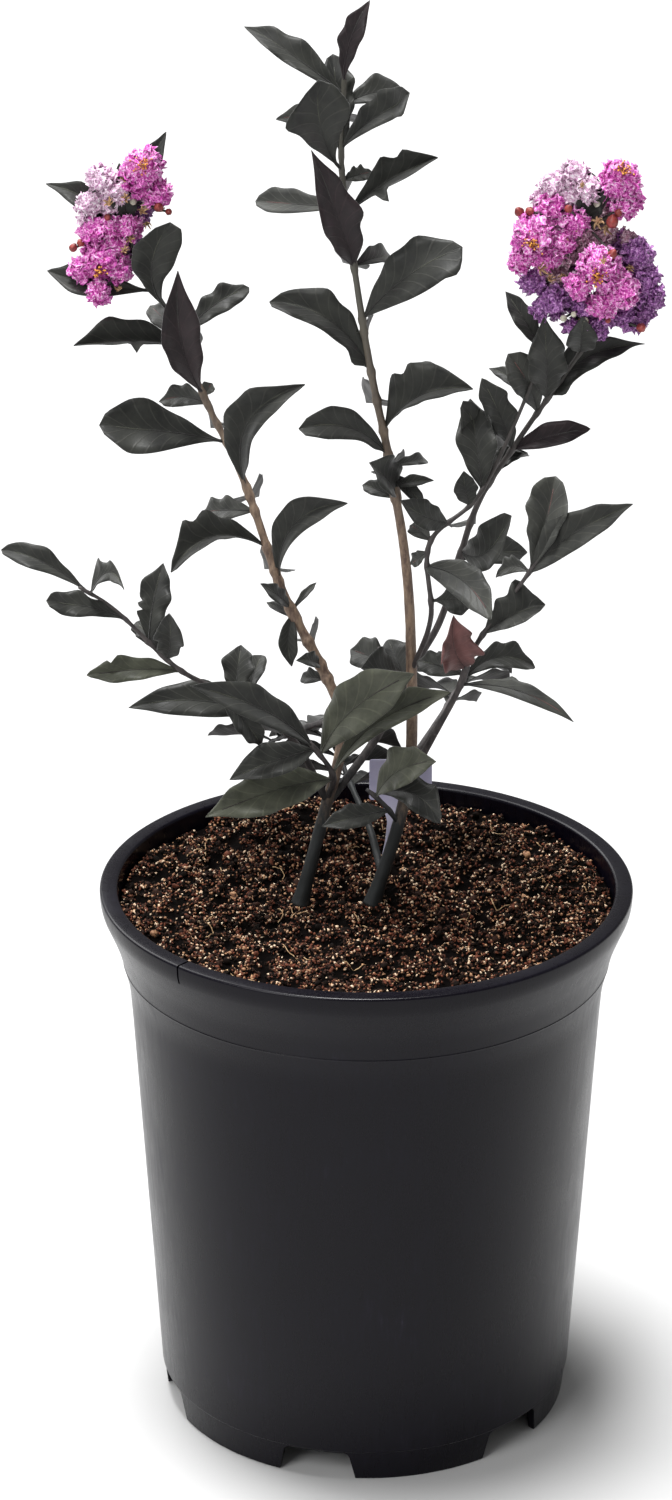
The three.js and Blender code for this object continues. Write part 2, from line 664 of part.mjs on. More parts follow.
for (const name of Object.keys(blooms)) {
  built[name] = makeBloom(name);
  place(group, name, petalColor, 0.7, built[name]);
}

for (const name of Object.keys(sprays)) {
  built[name] = makeSpray(name);
  place(group, name, leafColor, 0.6, built[name]);
}

Object.keys(shoots).forEach((name, seed) => {
  delete fat[name];
  built[name] = makeShoot(name, seed);
  place(group, name, leafColor, 0.6, built[name]);
});

export default group;
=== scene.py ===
import json
import math
from bisect import bisect_right
from random import Random

import bmesh
import bpy
import numpy as np
from mathutils import Matrix, Vector, noise
from mathutils.geometry import interpolate_bezier

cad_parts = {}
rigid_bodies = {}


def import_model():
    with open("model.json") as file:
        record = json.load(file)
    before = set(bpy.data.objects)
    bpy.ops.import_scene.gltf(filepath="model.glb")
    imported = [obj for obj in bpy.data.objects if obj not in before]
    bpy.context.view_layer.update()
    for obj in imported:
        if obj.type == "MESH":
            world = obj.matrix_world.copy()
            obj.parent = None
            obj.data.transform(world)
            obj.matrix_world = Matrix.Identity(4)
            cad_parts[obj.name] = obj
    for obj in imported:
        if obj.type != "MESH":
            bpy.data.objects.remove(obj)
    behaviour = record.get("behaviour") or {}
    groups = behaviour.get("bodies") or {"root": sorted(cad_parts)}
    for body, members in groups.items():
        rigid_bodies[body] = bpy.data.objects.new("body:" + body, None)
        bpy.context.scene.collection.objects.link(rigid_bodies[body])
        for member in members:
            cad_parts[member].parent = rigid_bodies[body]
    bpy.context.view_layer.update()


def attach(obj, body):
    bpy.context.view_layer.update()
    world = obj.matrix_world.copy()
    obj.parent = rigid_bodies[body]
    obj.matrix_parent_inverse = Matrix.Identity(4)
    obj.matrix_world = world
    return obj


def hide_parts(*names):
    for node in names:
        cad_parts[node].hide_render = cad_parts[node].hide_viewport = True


# A young crape myrtle in a black nursery pot. Tables and routes are in millimetres, meshes in metres.
# +Z is up and -Y is the front. Bearings are degrees round Z: 0 is right, 90 is the back.
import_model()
mm = 0.001
front, back = -90, 90
up = Vector((0, 0, 1))


# Small tools
def direction(bearing, rise):
    turn, lift = math.radians(bearing), math.radians(rise)
    return Vector((math.cos(turn) * math.cos(lift), math.sin(turn) * math.cos(lift), math.sin(lift)))


def smoothStep(low, high, value):
    share = min(max((value - low) / (high - low), 0), 1)
    return share * share * (3 - 2 * share)


def seededRandom(seed):
    # the same draws as the plant's own rule
    state = seed
    while True:
        state = (state * 1664525 + 1013904223) % 4294967296
        yield state / 4294967296


def routeCurve(points):
    # the smooth line through a route's points, and how far along it each of its steps is
    spots = [Vector(point) * mm for point in points]
    ends = [spots[0] * 2 - spots[1], *spots, spots[-1] * 2 - spots[-2]]
    line = [spots[0]]
    for before, start, end, after in zip(ends, ends[1:], ends[2:], ends[3:]):
        line += interpolate_bezier(start, start + (end - before) / 6, end - (after - start) / 6, end, 24)[1:]
    lengths = [0]
    for start, end in zip(line, line[1:]):
        lengths.append(lengths[-1] + (end - start).length)
    return {"line": line, "lengths": lengths, "length": lengths[-1]}


def onCurve(curve, distance):
    # the point at that distance along the curve
    line, lengths = curve["line"], curve["lengths"]
    step = min(max(bisect_right(lengths, distance) - 1, 0), len(line) - 2)
    share = (distance - lengths[step]) / (lengths[step + 1] - lengths[step])
    return line[step].lerp(line[step + 1], share)


def bentGrid(mesh, across, along, place, material=0):
    # a grid whose corners are laid by place(u, v); both run from 0 to 1 and are its UVs
    layer = mesh.loops.layers.uv.verify()
    corners = bmesh.ops.create_grid(mesh, x_segments=across, y_segments=along, size=0.5)["verts"]
    faces = {face for corner in corners for face in corner.link_faces}
    for face in faces:
        face.material_index = material
        for loop in face.loops:
            loop[layer].uv = (loop.vert.co.x + 0.5, loop.vert.co.y + 0.5)
    for corner in corners:
        corner.co = place(corner.co.x + 0.5, corner.co.y + 0.5)
    return corners


def tube(mesh, points, radiusAt, sides, material=0, relief=None):
    # a closed round tube along points, with a radius for each share of its length
    steps = len(points) - 1
    runs = [(points[min(k + 1, steps)] - points[max(k - 1, 0)]).normalized() for k in range(steps + 1)]
    across = runs[0].orthogonal().normalized()
    rings = []
    for run in runs:
        across = (across - run * across.dot(run)).normalized()
        rings.append((across.copy(), run.cross(across)))

    def place(u, v):
        k = round(v * steps)
        turn = u * math.tau
        radius = radiusAt(v) * (1 + (relief(u, v) if relief else 0))
        return points[k] + (rings[k][0] * math.cos(turn) + rings[k][1] * math.sin(turn)) * radius

    corners = bentGrid(mesh, sides, steps, place, material)
    bmesh.ops.remove_doubles(mesh, verts=corners, dist=1e-7)
    left = [corner for corner in corners if corner.is_valid]
    ends = [edge for corner in left for edge in corner.link_edges if edge.is_boundary]
    for face in bmesh.ops.holes_fill(mesh, edges=list(set(ends)), sides=sides)["faces"]:
        face.material_index = material
        face.normal_update()


def meshData(name, mesh):
    # a bmesh is spent on mesh data
    data = bpy.data.meshes.new(name)
    mesh.to_mesh(data)
    mesh.free()
    return data


def addPiece(mesh, name, finishes, slot, *nodes):
    # a mesh becomes a piece of the plant, which rides on its only body
    data = meshData(name, mesh) if isinstance(mesh, bmesh.types.BMesh) else mesh
    data.shade_smooth()
    piece = bpy.data.objects.new(name, data)
    bpy.context.scene.collection.objects.link(piece)
    for finish in finishes:
        data.materials.append(finish)
    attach(piece, "root")
    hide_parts(*nodes)
    return piece


def addModifier(piece, kind, **settings):
    modifier = piece.modifiers.new(kind.lower(), kind)
    for setting, value in settings.items():
        setattr(modifier, setting, value)


def roundCorners(mesh, corners, rounding, segments):
    bmesh.ops.bevel(mesh, geom=corners, offset=rounding * mm, segments=segments, profile=0.5,
                    affect="VERTICES", material=-1)


def extrude(mesh, way):
    # a flat outline becomes a solid
    grown = bmesh.ops.extrude_face_region(mesh, geom=mesh.faces[:])["geom"]
    moved = [item for item in grown if isinstance(item, bmesh.types.BMVert)]
    bmesh.ops.translate(mesh, verts=moved, vec=way)


def closeSeams(mesh):
    bmesh.ops.remove_doubles(mesh, verts=mesh.verts[:], dist=1e-6)
    bmesh.ops.recalc_face_normals(mesh, faces=mesh.faces[:])


def readField(items, field, width, kind):
    values = np.empty(len(items) * width, kind)
    items.foreach_get(field, values)
    return values


def kindOf(mesh):
    # a small shape that many copies are made of
    mesh.loops.layers.uv.verify()
    data = meshData("kind", mesh)
    kind = {
        "corners": readField(data.vertices, "co", 3, np.float32).reshape(-1, 3),
        "loops": readField(data.loops, "vertex_index", 1, np.int32),
        "starts": readField(data.polygons, "loop_start", 1, np.int32),
        "uvs": readField(data.uv_layers[0].uv, "vector", 2, np.float32),
    }
    bpy.data.meshes.remove(data)
    return kind


def strew(name, copies):
    # one mesh of many copies, each a kind, a matrix and a material number
    corners, loops, starts, uvs, materials = [], [], [], [], []
    cornerCount = loopCount = 0
    for kind, matrix, material in copies:
        turn = np.array(matrix)
        corners.append(kind["corners"] @ turn[:3, :3].T + turn[:3, 3])
        loops.append(kind["loops"] + cornerCount)
        starts.append(kind["starts"] + loopCount)
        uvs.append(kind["uvs"])
        materials.append(np.full(len(kind["starts"]), material))
        cornerCount += len(kind["corners"])
        loopCount += len(kind["loops"])
    data = bpy.data.meshes.new(name)
    data.vertices.add(cornerCount)
    data.loops.add(loopCount)
    data.polygons.add(sum(map(len, starts)))
    data.vertices.foreach_set("co", np.concatenate(corners).ravel())
    data.loops.foreach_set("vertex_index", np.concatenate(loops))
    data.polygons.foreach_set("loop_start", np.concatenate(starts))
    data.uv_layers.new(name="UVMap").uv.foreach_set("vector", np.concatenate(uvs))
    data.update(calc_edges=True)
    data.polygons.foreach_set("material_index", np.concatenate(materials).astype(np.int32))
    return data


def crumbKind(sides, bands, random, least=0.7, most=1.25):
    # a crumb or chip: a ball with a few uneven flat sides
    mesh = bmesh.new()
    bmesh.ops.create_uvsphere(mesh, u_segments=sides, v_segments=bands, radius=1)
    for corner in mesh.verts:
        corner.co *= random.uniform(least, most)
    return kindOf(mesh)


def turnTo(place, axis, spin, size):
    # a matrix that sets +Z along axis at a place, turned round it by spin
    turn = axis.to_track_quat("Z", "Y").to_matrix().to_4x4()
    return Matrix.Translation(place) @ turn @ Matrix.Rotation(spin, 4, "Z") @ Matrix.Diagonal((*size, 1))


# Materials
def linear(color):
    # an sRGB hex value as the linear colour that the shader takes
    parts = [int(color[i:i + 2], 16) / 255 for i in (1, 3, 5)]
    return (*[c / 12.92 if c <= 0.04045 else ((c + 0.055) / 1.055) ** 2.4 for c in parts], 1)


def newMaterial(name, **settings):
    material = bpy.data.materials.new(name)
    material.use_nodes = True
    shader = material.node_tree.nodes["Principled BSDF"]
    for socket, value in settings.items():
        shader.inputs[socket.replace("_", " ")].default_value = value
    return material, shader


def add(material, kind, links=(), outputs=(), **settings):
    # one node: settings of the node or of its sockets, links into it, and links out of it
    tree = material.node_tree
    node = tree.nodes.new("ShaderNode" + kind)
    for setting, value in settings.items():
        if hasattr(node, setting):
            setattr(node, setting, value)
        else:
            node.inputs[setting.replace("_", " ")].default_value = value
    for socket, source in dict(links).items():
        tree.links.new(source, node.inputs[socket])
    for source, target in dict(outputs).items():
        tree.links.new(node.outputs[source], target)
    return node


def calculate(material, operation, *values):
    # a sum whose values are links or numbers
    node = add(material, "Math", operation=operation)
    for socket, value in zip(node.inputs, values):
        if isinstance(value, (int, float)):
            socket.default_value = value
        else:
            material.node_tree.links.new(value, socket)
    return node.outputs[0]


def between(material, value, low, high, **settings):
    # how far a value is from low to high, from 0 to 1 unless settings say more
    node = add(material, "MapRange", {"Value": value}, From_Min=low, From_Max=high, **settings)
    return node.outputs["Result"]


def ramp(material, source, *stops, target=None):
    # a colour ramp of (place, hex colour) stops
    node = add(material, "ValToRGB", {"Fac": source})
    elements = node.color_ramp.elements
    while len(elements) < len(stops):
        elements.new(0.5)
    for element, (place, color) in zip(elements, stops):
        element.position = place
        element.color = linear(color)
    if target:
        material.node_tree.links.new(node.outputs["Color"], target)
    return node.outputs["Color"]


def blend(material, share, low, high):
    # one colour or another, or both, by a share; each is a link or a colour
    node = add(material, "Mix", {0: share}, data_type="RGBA")
    for socket, source in ((6, low), (7, high)):
        if isinstance(source, tuple):
            node.inputs[socket].default_value = source
        else:
            material.node_tree.links.new(source, node.inputs[socket])
    return node.outputs[2]


def noiseAt(material, coordinates, spacing, detail=3, **settings):
    # noise whose lumps are spacing mm apart
    scale = 1 / (spacing * mm)
    node = add(material, "TexNoise", {"Vector": coordinates}, Scale=scale, Detail=detail, **settings)
    return node.outputs["Fac"]


def bump(material, shader, height, depth, strength):
    add(material, "Bump", {"Height": height}, {"Normal": shader.inputs["Normal"]}, Distance=depth * mm,
        Strength=strength)


def objectPlace(material):
    return add(material, "TexCoord").outputs["Object"]


veins = {
    "rib": (0.026, 0.008),  # how far from the middle the midrib ends and is full, as shares of the width
    "count": 9,  # side veins to each side
    "slant": -0.42,
    "edge": 0.86,  # the less, the wider the side veins
    "strength": 0.16,
}


def leafMaterial(name, dark, light, vein, roughness):
    # crape myrtle leaf: a thin leathery blade with a dusty satin skin, so highlights are wide and grey
    material, shader = newMaterial(name, Roughness=roughness, IOR=1.42, Specular_IOR_Level=0.3,
                                   Sheen_Weight=0.2, Sheen_Roughness=0.5)
    place = objectPlace(material)
    base = ramp(material, noiseAt(material, place, 14, 4, Roughness=0.6), (0.36, dark), (0.66, light))
    parts = add(material, "SeparateXYZ", {"Vector": add(material, "UVMap").outputs["UV"]}).outputs
    away = calculate(material, "ABSOLUTE", calculate(material, "SUBTRACT", parts["X"], 0.5))
    # side veins run out and forward
    slant = calculate(material, "MULTIPLY_ADD", away, veins["slant"], parts["Y"])
    sine = calculate(material, "COSINE", calculate(material, "MULTIPLY", slant, veins["count"] * math.tau))
    sideVein = between(material, sine, veins["edge"], 1)
    lines = calculate(material, "MAXIMUM", between(material, away, *veins["rib"]), sideVein)
    faint = calculate(material, "MULTIPLY", lines, veins["strength"])
    tint = blend(material, faint, base, linear(vein))
    material.node_tree.links.new(tint, shader.inputs["Base Color"])
    grain = noiseAt(material, place, 1.6, 3)
    bump(material, shader, calculate(material, "ADD", lines, grain), 0.12, 0.6)
    return material


def petalMaterial(name, deep, middle, bright):
    # crape petal: a thin wrinkled tissue whose colour follows its crinkle bump: the deep colour in the folds
    # is painted shade, and the nearly white one along the crests is painted highlight
    material, shader = newMaterial(name, Roughness=0.42, IOR=1.4, Sheen_Weight=0.25, Sheen_Roughness=0.4)
    crinkle = noiseAt(material, objectPlace(material), 1.15, 3, Roughness=0.6)
    # deep stop: painted shade in the folds; bright stop: painted highlight on the crests
    ramp(material, crinkle, (0.38, deep), (0.5, middle), (0.64, bright), target=shader.inputs["Base Color"])
    bump(material, shader, crinkle, 0.5, 0.9)
    return material


def plainMaterial(name, dark, light, spacing, roughness, depth=0.2, **settings):
    # a skin whose colour wanders between two near shades
    material, shader = newMaterial(name, Roughness=roughness, **settings)
    blotch = noiseAt(material, objectPlace(material), spacing, 4)
    ramp(material, blotch, (0.35, dark), (0.65, light), target=shader.inputs["Base Color"])
    bump(material, shader, blotch, depth, 0.8)
    return material


# Camera, light and floor
view = {
    "place": (-16, -2164, 1293),
    "lookDown": 22.98,  # degrees below level
    "lens": 108,
    "sensor": 36,
}


def setCamera():
    camera = bpy.data.objects.new("camera", bpy.data.cameras.new("camera"))
    camera.data.lens = view["lens"]
    camera.data.sensor_width = view["sensor"]
    camera.location = Vector(view["place"]) * mm
    camera.rotation_euler = (math.radians(90 - view["lookDown"]), 0, 0)
    camera.data.clip_end = 30
    bpy.context.scene.collection.objects.link(camera)
    bpy.context.scene.camera = camera


studio = {
    "surroundings": 0.3,  # how much of the white room reaches the plant
    "overhead": {"toward": (0.08, -0.03, -1), "strength": 4.5, "spread": 16},
    "behind": {"toward": (0.5, -0.66, -0.75), "strength": 2.2, "spread": 45},
    "fill": {"toward": (0.62, 0.72, -0.75), "strength": 1.6, "spread": 30},
    "floor": "#bababa",
}


def setStudio():
    world = bpy.data.worlds.new("studio")
    world.use_nodes = True
    tree = world.node_tree
    room = tree.nodes["Background"]
    room.inputs["Color"].default_value = (1, 1, 1, 1)
    room.inputs["Strength"].default_value = studio["surroundings"]
    bpy.context.scene.world = world
    bpy.context.scene.view_settings.view_transform = "Standard"
    for name in ("overhead", "behind", "fill"):
        lamp = bpy.data.lights.new(name, "SUN")
        lamp.energy = studio[name]["strength"]
        lamp.angle = math.radians(studio[name]["spread"])
        light = bpy.data.objects.new(name, lamp)
        light.rotation_euler = Vector(studio[name]["toward"]).to_track_quat("-Z", "Y").to_euler()
        bpy.context.scene.collection.objects.link(light)
    ground = bmesh.new()
    bmesh.ops.create_grid(ground, x_segments=1, y_segments=1, size=6)
    data = meshData("floor", ground)
    data.materials.append(newMaterial("pale paper", Base_Color=linear(studio["floor"]), Roughness=0.9)[0])
    floor = bpy.data.objects.new("floor", data)
    bpy.context.scene.collection.objects.link(floor)


setCamera()
setStudio()
print("camera, light and floor are set")


# Stems
stems = {
    "left_stem": {
        "route": [
            [-35, -8, 290], [-28, -6, 318], [-21, 0, 344], [-14, 6, 370], [-13, 12, 390], [-23, 20, 413],
            [-44, 30, 453], [-64, 42, 510], [-84, 50, 552], [-101, 54, 595],
        ],
        "radius": [3.6, 1.3], "flare": 1.7, "bare": 115,
    },
    "middle_stem": {
        "route": [
            [3, -8, 290], [16, -6, 333], [23, -4, 371], [22.8, 0, 432], [19.7, 0, 481], [10.4, -4, 540],
            [2, -8, 583], [-4.4, -12, 624], [-13, -16, 690], [-12, -18, 740],
        ],
        "radius": [3.6, 1.0], "flare": 1.7, "bare": 215,
    },
    "right_stem": {
        "route": [
            [-21, 0, 344], [6, 16, 377], [27, 20, 418], [40, 22, 444], [56, 20, 502], [75, 16, 537],
            [92, 12, 565], [110, 8, 594],
        ],
        "radius": [2.4, 1.1], "bare": 138,
    },
    "low_right_stem": {
        "route": [
            [20, -6, 349], [29, -14, 378], [46, -30, 420], [55, -38, 449], [76, -48, 485], [89, -52, 506],
        ],
        "radius": [2.1, 0.9], "bare": 50,
    },
    "slim_stem": {
        "route": [
            [23, 0, 419], [32.6, -14, 455], [31.6, -18, 497], [57, -8, 520], [80, 4, 567], [89, 6, 595],
        ],
        "radius": [1.5, 0.8], "bare": 45,
    },
    "far_left_stem": {
        "route": [
            [-21, 0, 347], [-38, -6, 383], [-64, -20, 411], [-96, -40, 437], [-127, -50, 473],
            [-145, -54, 487],
        ],
        "radius": [2.0, 0.8], "bare": 52,
    },
    "back_stem": {
        "route": [[8, -7, 308], [2, 18, 322], [-8, 45, 336], [-16, 70, 346], [-22, 88, 350]],
        "radius": [2.2, 0.9], "bare": 45,
    },
    "back_left_stem": {
        "route": [[-13, 12, 388], [-27, 38, 374], [-42, 66, 356], [-52, 90, 342]],
        "radius": [2.0, 0.9], "bare": 24,
    },
    "back_right_stem": {
        "route": [[23, -4, 370], [40, 28, 384], [52, 56, 392], [62, 80, 392]],
        "radius": [2.0, 0.9], "bare": 30,
    },
}

# Leaves: (distance along the stem, bearing, rise, length, width, sweep, lean, arch), then what sets that leaf
# apart. Sweep bows the leaf in its own plane, and lean turns it from facing up, 0, to the front, 90. Lobes
# are bulges and bites of the margin: (side, place from 0 to 1, height as a share of the width, spread).
usual = (0, 50, 0.08)  # sweep, lean and arch of a leaf whose row leaves them out

shoots = {
    "left_shoot": {
        "stem": "left_stem", "behind": 5,
        "leaves": [
            (126, 140, -15, 20, 8), (134, -130, 25, 20, 8), (161, 130, 5, 24, 4.5),
            (165, -92, -69, 28, 9, -0.08), (166, 45, 30, 21, 3.5, 0, 50, 0.2), (168, -130, 40, 32, 8),
            (183, -20, 50, 64, 16, 0.21, {"fold": 0.4, "tip": 0.8}),
            (202, -155, -4, 54, 17, -0.2, 40,
             {"fold": 0.6, "tip": 0.5, "foot": 1, "lobes": [(1, 0.78, 0.25, 0.05), (1, 0.58, 0.15, 0.05)]}),
            (222, 147, -13, 36, 13, 0, {"tint": "grey", "lobes": [(1, 0.8, 0.3, 0.06)]}),
            (235, -30, 61, 70, 18, 0.21,
             {"fold": 0.5, "tip": 0.8, "lobes": [(1, 0.25, 0.5, 0.15), (-1, 0.8, 0.4, 0.1)]}),
            (261, -170, 10, 68, 29, 0, {"foot": 1.7, "tip": 0.6, "wave": 0.04}),
            (283, 148, -9, 30, 12, -0.1, {"tint": "grey"}), (288, 40, 44, 8, 7, {"tint": "grey"}),
            (289, -113, 69, 80, 18.5, 0.075, {"tint": "plum", "foot": 1.5, "tip": 1.1, "fold": 0.3}),
            (316, -170, 2, 57, 15, -0.02, 40,
             {"fold": 0.6, "lobes": [(1, 0.68, 0.2, 0.08), (-1, 0.46, 0.8, 0.03)]}),
            (320, 22, 32, 45, 13, 0.05, {"tip": 0.5}), (320, 120, 15, 34, 12, {"tint": "grey"}),
        ],
    },
    "middle_shoot": {
        "stem": "middle_stem", "behind": 6,
        "leaves": [
            (229, 140, 6, 23, 8), (232, -120, 40, 40, 18), (236, -40, 18, 28, 6), (243, -30, -36, 24, 7),
            (247, 50, -10, 33, 6),
            (253, -150, 25, 56, 16.5, -0.11, {"tip": 0.35, "wave": 0.03, "lobes": [(-1, 0.2, 0.6, 0.12)]}),
            (267, -20, 30, 55, 21, 0.13, 40,
             {"fold": 0.5, "tip": 0.8,
              "lobes": [(-1, 0.24, 1.2, 0.12), (-1, 0.5, 0.2, 0.05), (-1, 0.7, 0.2, 0.05)]}),
            (300, 170, 34, 62, 19, -0.13,
             {"fold": 0.4, "tip": 0.45, "lobes": [(-1, 0.14, 1.8, 0.08), (-1, 0.35, 0.2, 0.12)]}),
            (329, -15, 40, 65, 26, 0.03,
             {"foot": 1.2, "tip": 0.55, "wave": 0.04, "lobes": [(1, 0.92, 0.7, 0.07)]}),
            (357, -135, 66, 71, 18.5, 0.01, {"tint": "plum", "tip": 1.15, "fold": 0.35}),
            (358, 55, -7, 35, 11),
            (385, 10, 29, 53, 12.5, 0.04, 45,
             {"fold": 0.6, "foot": 1.5,
              "lobes": [(-1, 0.55, 0.45, 0.06), (-1, 0.75, 0.45, 0.05), (1, 0.38, 1.6, 0.035)]}),
            (389, 155, -3, 50, 13, 0.01, 50, 0, {"tip": 0.45, "tint": "grey"}),
            (403, 30, 5, 17, 8, {"tint": "grey"}),
            (408, -120, 65, 57, 26, 0.1,
             {"foot": 2.1, "tip": 0.5, "fold": 0.35, "wave": 0.03, "lobes": [(-1, 0.82, 0.4, 0.12)]}),
            (415, 110, 76, 50, 16, 0, {"tip": 0.5}),
            (419, -25, 36, 53, 15, 0.04, {"hook": 0.2, "tip": 0.45, "lobes": [(1, 0.9, 0.8, 0.08)]}),
            (438, 165, -12, 34, 9, {"tint": "grey"}), (441, 30, 3, 36, 15, 0.06, {"tip": 0.6}),
            (447, 163, 32, 59, 13.5, 0.03, 40, {"lobes": [(1, 0.35, 0.25, 0.08)]}),
            (452, -20, 73, 44, 10.5, 0.06, {"tint": "plum", "foot": 1.5}),
        ],
    },
    "right_shoot": {
        "stem": "right_stem", "behind": 3,
        "leaves": [
            (152, 27, -4, 41, 14), (156, -43, 41, 43, 20, -0.24, {"tip": 0.5, "foot": 0.9}),
            (197, -132, 66, 57, 15, -0.03, {"tip": 0.4, "foot": 0.8}), (199, 19, 33, 24, 9, 0.2),
            (220, -143, 64, 47, 14, 0, {"tip": 0.7, "lobes": [(-1, 0.9, 0.5, 0.08)]}),
            (220, -10, 19, 42, 12, 0, {"foot": 1, "tip": 0.7, "tint": "plum"}),
            (244, -149, 62, 39, 19, -0.04, {"tip": 0.4, "tint": "grey"}), (253, -100, 72, 50, 18),
            (255, 10, 25, 55, 14.5, 0.15,
             {"foot": 0.9, "tip": 1.2, "hook": 0.12, "lobes": [(1, 0.12, 0.8, 0.08)]}),
            (284, -90, 60, 28, 14),
        ],
    },
    "low_right_shoot": {
        "stem": "low_right_stem", "behind": 0,
        "leaves": [
            (92, 148, 3, 29, 13),
            (85, -20, -11, 62, 8.5, 0.08, {"lobes": [(-1, 0.4, 0.7, 0.05)], "tint": "grey"}),
            (88, 27, -1, 43, 13.5, 0.18, {"tip": 0.6}),
            (96, -128, 71, 34, 19, 0.12, {"tint": "bud", "fold": 0.5, "wave": 0.2, "tip": 1.1}),
            (119, -20, 33, 38, 17, 0.03, {"tip": 0.45, "fold": 0.5, "lobes": [(-1, 0.85, 0.9, 0.07)]}),
            (164, 148, -21, 20, 9, -0.22),
            (164, -10, 36, 66, 16.5, 0.05,
             {"foot": 0.8, "hook": 0.1, "wave": 0.05, "lobes": [(-1, 0.35, 0.4, 0.1)]}),
            (165, 46, 69, 49, 19, -0.03, {"tip": 0.4, "fold": 0.5, "tint": "grey"}),
        ],
    },
    "inner_shoot": {
        "stem": "slim_stem", "behind": 0,
        "leaves": [
            (50, -26, 10, 26, 18, 0, {"foot": 1.8, "tip": 0.5}), (78, 131, -42, 15, 7, {"tint": "grey"}),
            (70, -50, -17, 52, 17, 0.1, {"foot": 0.6, "tip": 0.6, "tint": "grey", "wave": 0.05}),
            (84, 135, 18, 16, 9, {"tint": "grey"}), (97, -150, 30, 34, 14, 0.1),
            (111, -156, 79, 20, 11, 0.05), (121, 110, 68, 47, 18), (173, 140, 23, 26, 7, -0.1),
            (199, 157, 54, 35, 11),
        ],
    },
    "far_left_shoot": {
        "stem": "far_left_stem", "behind": 0,
        "leaves": [
            (64, -164, 11, 73, 18, -0.05), (80, 73, 28, 34, 9, 0, {"tip": 0.5}), (87, 79, 55, 28, 15),
            (100, 11, -55, 42, 12),
            (125, -165, 2, 50, 12.5, -0.02, {"tint": "olive", "tip": 0.7, "lobes": [(1, 0.74, -0.5, 0.03)]}),
            (136, -82, 64, 34, 13, -0.05, {"tip": 0.6}), (140, 128, 28, 25, 10, 0, {"tip": 0.5}),
            (150, 62, 67, 41, 15.5, 0.03, {"lobes": [(-1, 0.5, -0.3, 0.03), (-1, 0.4, -0.55, 0.03)]}),
            (168, -163, 17, 45, 12.5, -0.04, {"tip": 0.4, "hook": 0.15}),
            (192, -32, 16, 22, 11, 0.45, {"foot": 0.5, "lobes": [(-1, 0.12, 1.6, 0.12)]}),
            (194, 170, 25, 48, 12, -0.05, {"foot": 1.4, "tip": 0.55}),
        ],
    },
    "back_shoot": {"stem": "back_stem", "leaves": [], "behind": 7, "spread": 70},
    "back_left_shoot": {"stem": "back_left_stem", "leaves": [], "behind": 6, "spread": 60},
    "back_right_shoot": {"stem": "back_right_stem", "leaves": [], "behind": 6, "spread": 50},
}

# Leaves on the far side of a shoot grow by rule. Where others stand in front of them their spread is narrow
# and they are on edge, and on a shoot of their own it is wide and they face the back.
behindLeaf = {
    "spread": 12, "droop": 22, "lean": 40,  # degrees
    "length": 38, "longer": 10,
    "width": 0.44, "wave": 0.04,  # shares of the length and the width
    "inset": 12,  # of the first one, from where the stem is no longer bare
}

sprays = {
    "front_spray": {
        "route": [[-20, 0, 348], [-18, -9, 366], [-30, -14, 386]],
        "radius": [1.7, 1.1],
        "leaves": [
            (16, -149, -4, 78, 22, -0.02, {"tint": "olive", "tip": 1.05}),
            (20, -19, 39, 87, 15, 0.09, {"tint": "olive", "tip": 0.7}),
            (34, -30, 44, 84, 25, 0.07, {"tint": "olive", "wave": 0.05}), (38, -147, -4, 52, 18),
            (40, -154, 33, 86, 17, -0.05),
        ],
    },
    "front_right_spray": {
        "route": [[17, -6, 336], [9, -13, 350], [0, -14, 359]],
        "radius": [1.5, 1.0],
        "leaves": [
            (12, -153, -2, 40, 12), (26, -38, -5, 44, 17, 0.17, 40, {"tip": 0.6}),
            (24, -38, 36, 53, 20, 0.1, {"tint": "olive"}),
        ],
    },
    "middle_spray": {
        "route": [[23, 0, 412], [10, 2, 424], [6, 3, 432]],
        "radius": [1.2, 0.8],
        "leaves": [(5, 110, 28, 27, 16), (10, -138, 19, 27, 17), (16, 146, 7, 24, 17, 0, {"tint": "grey"})],
    },
}

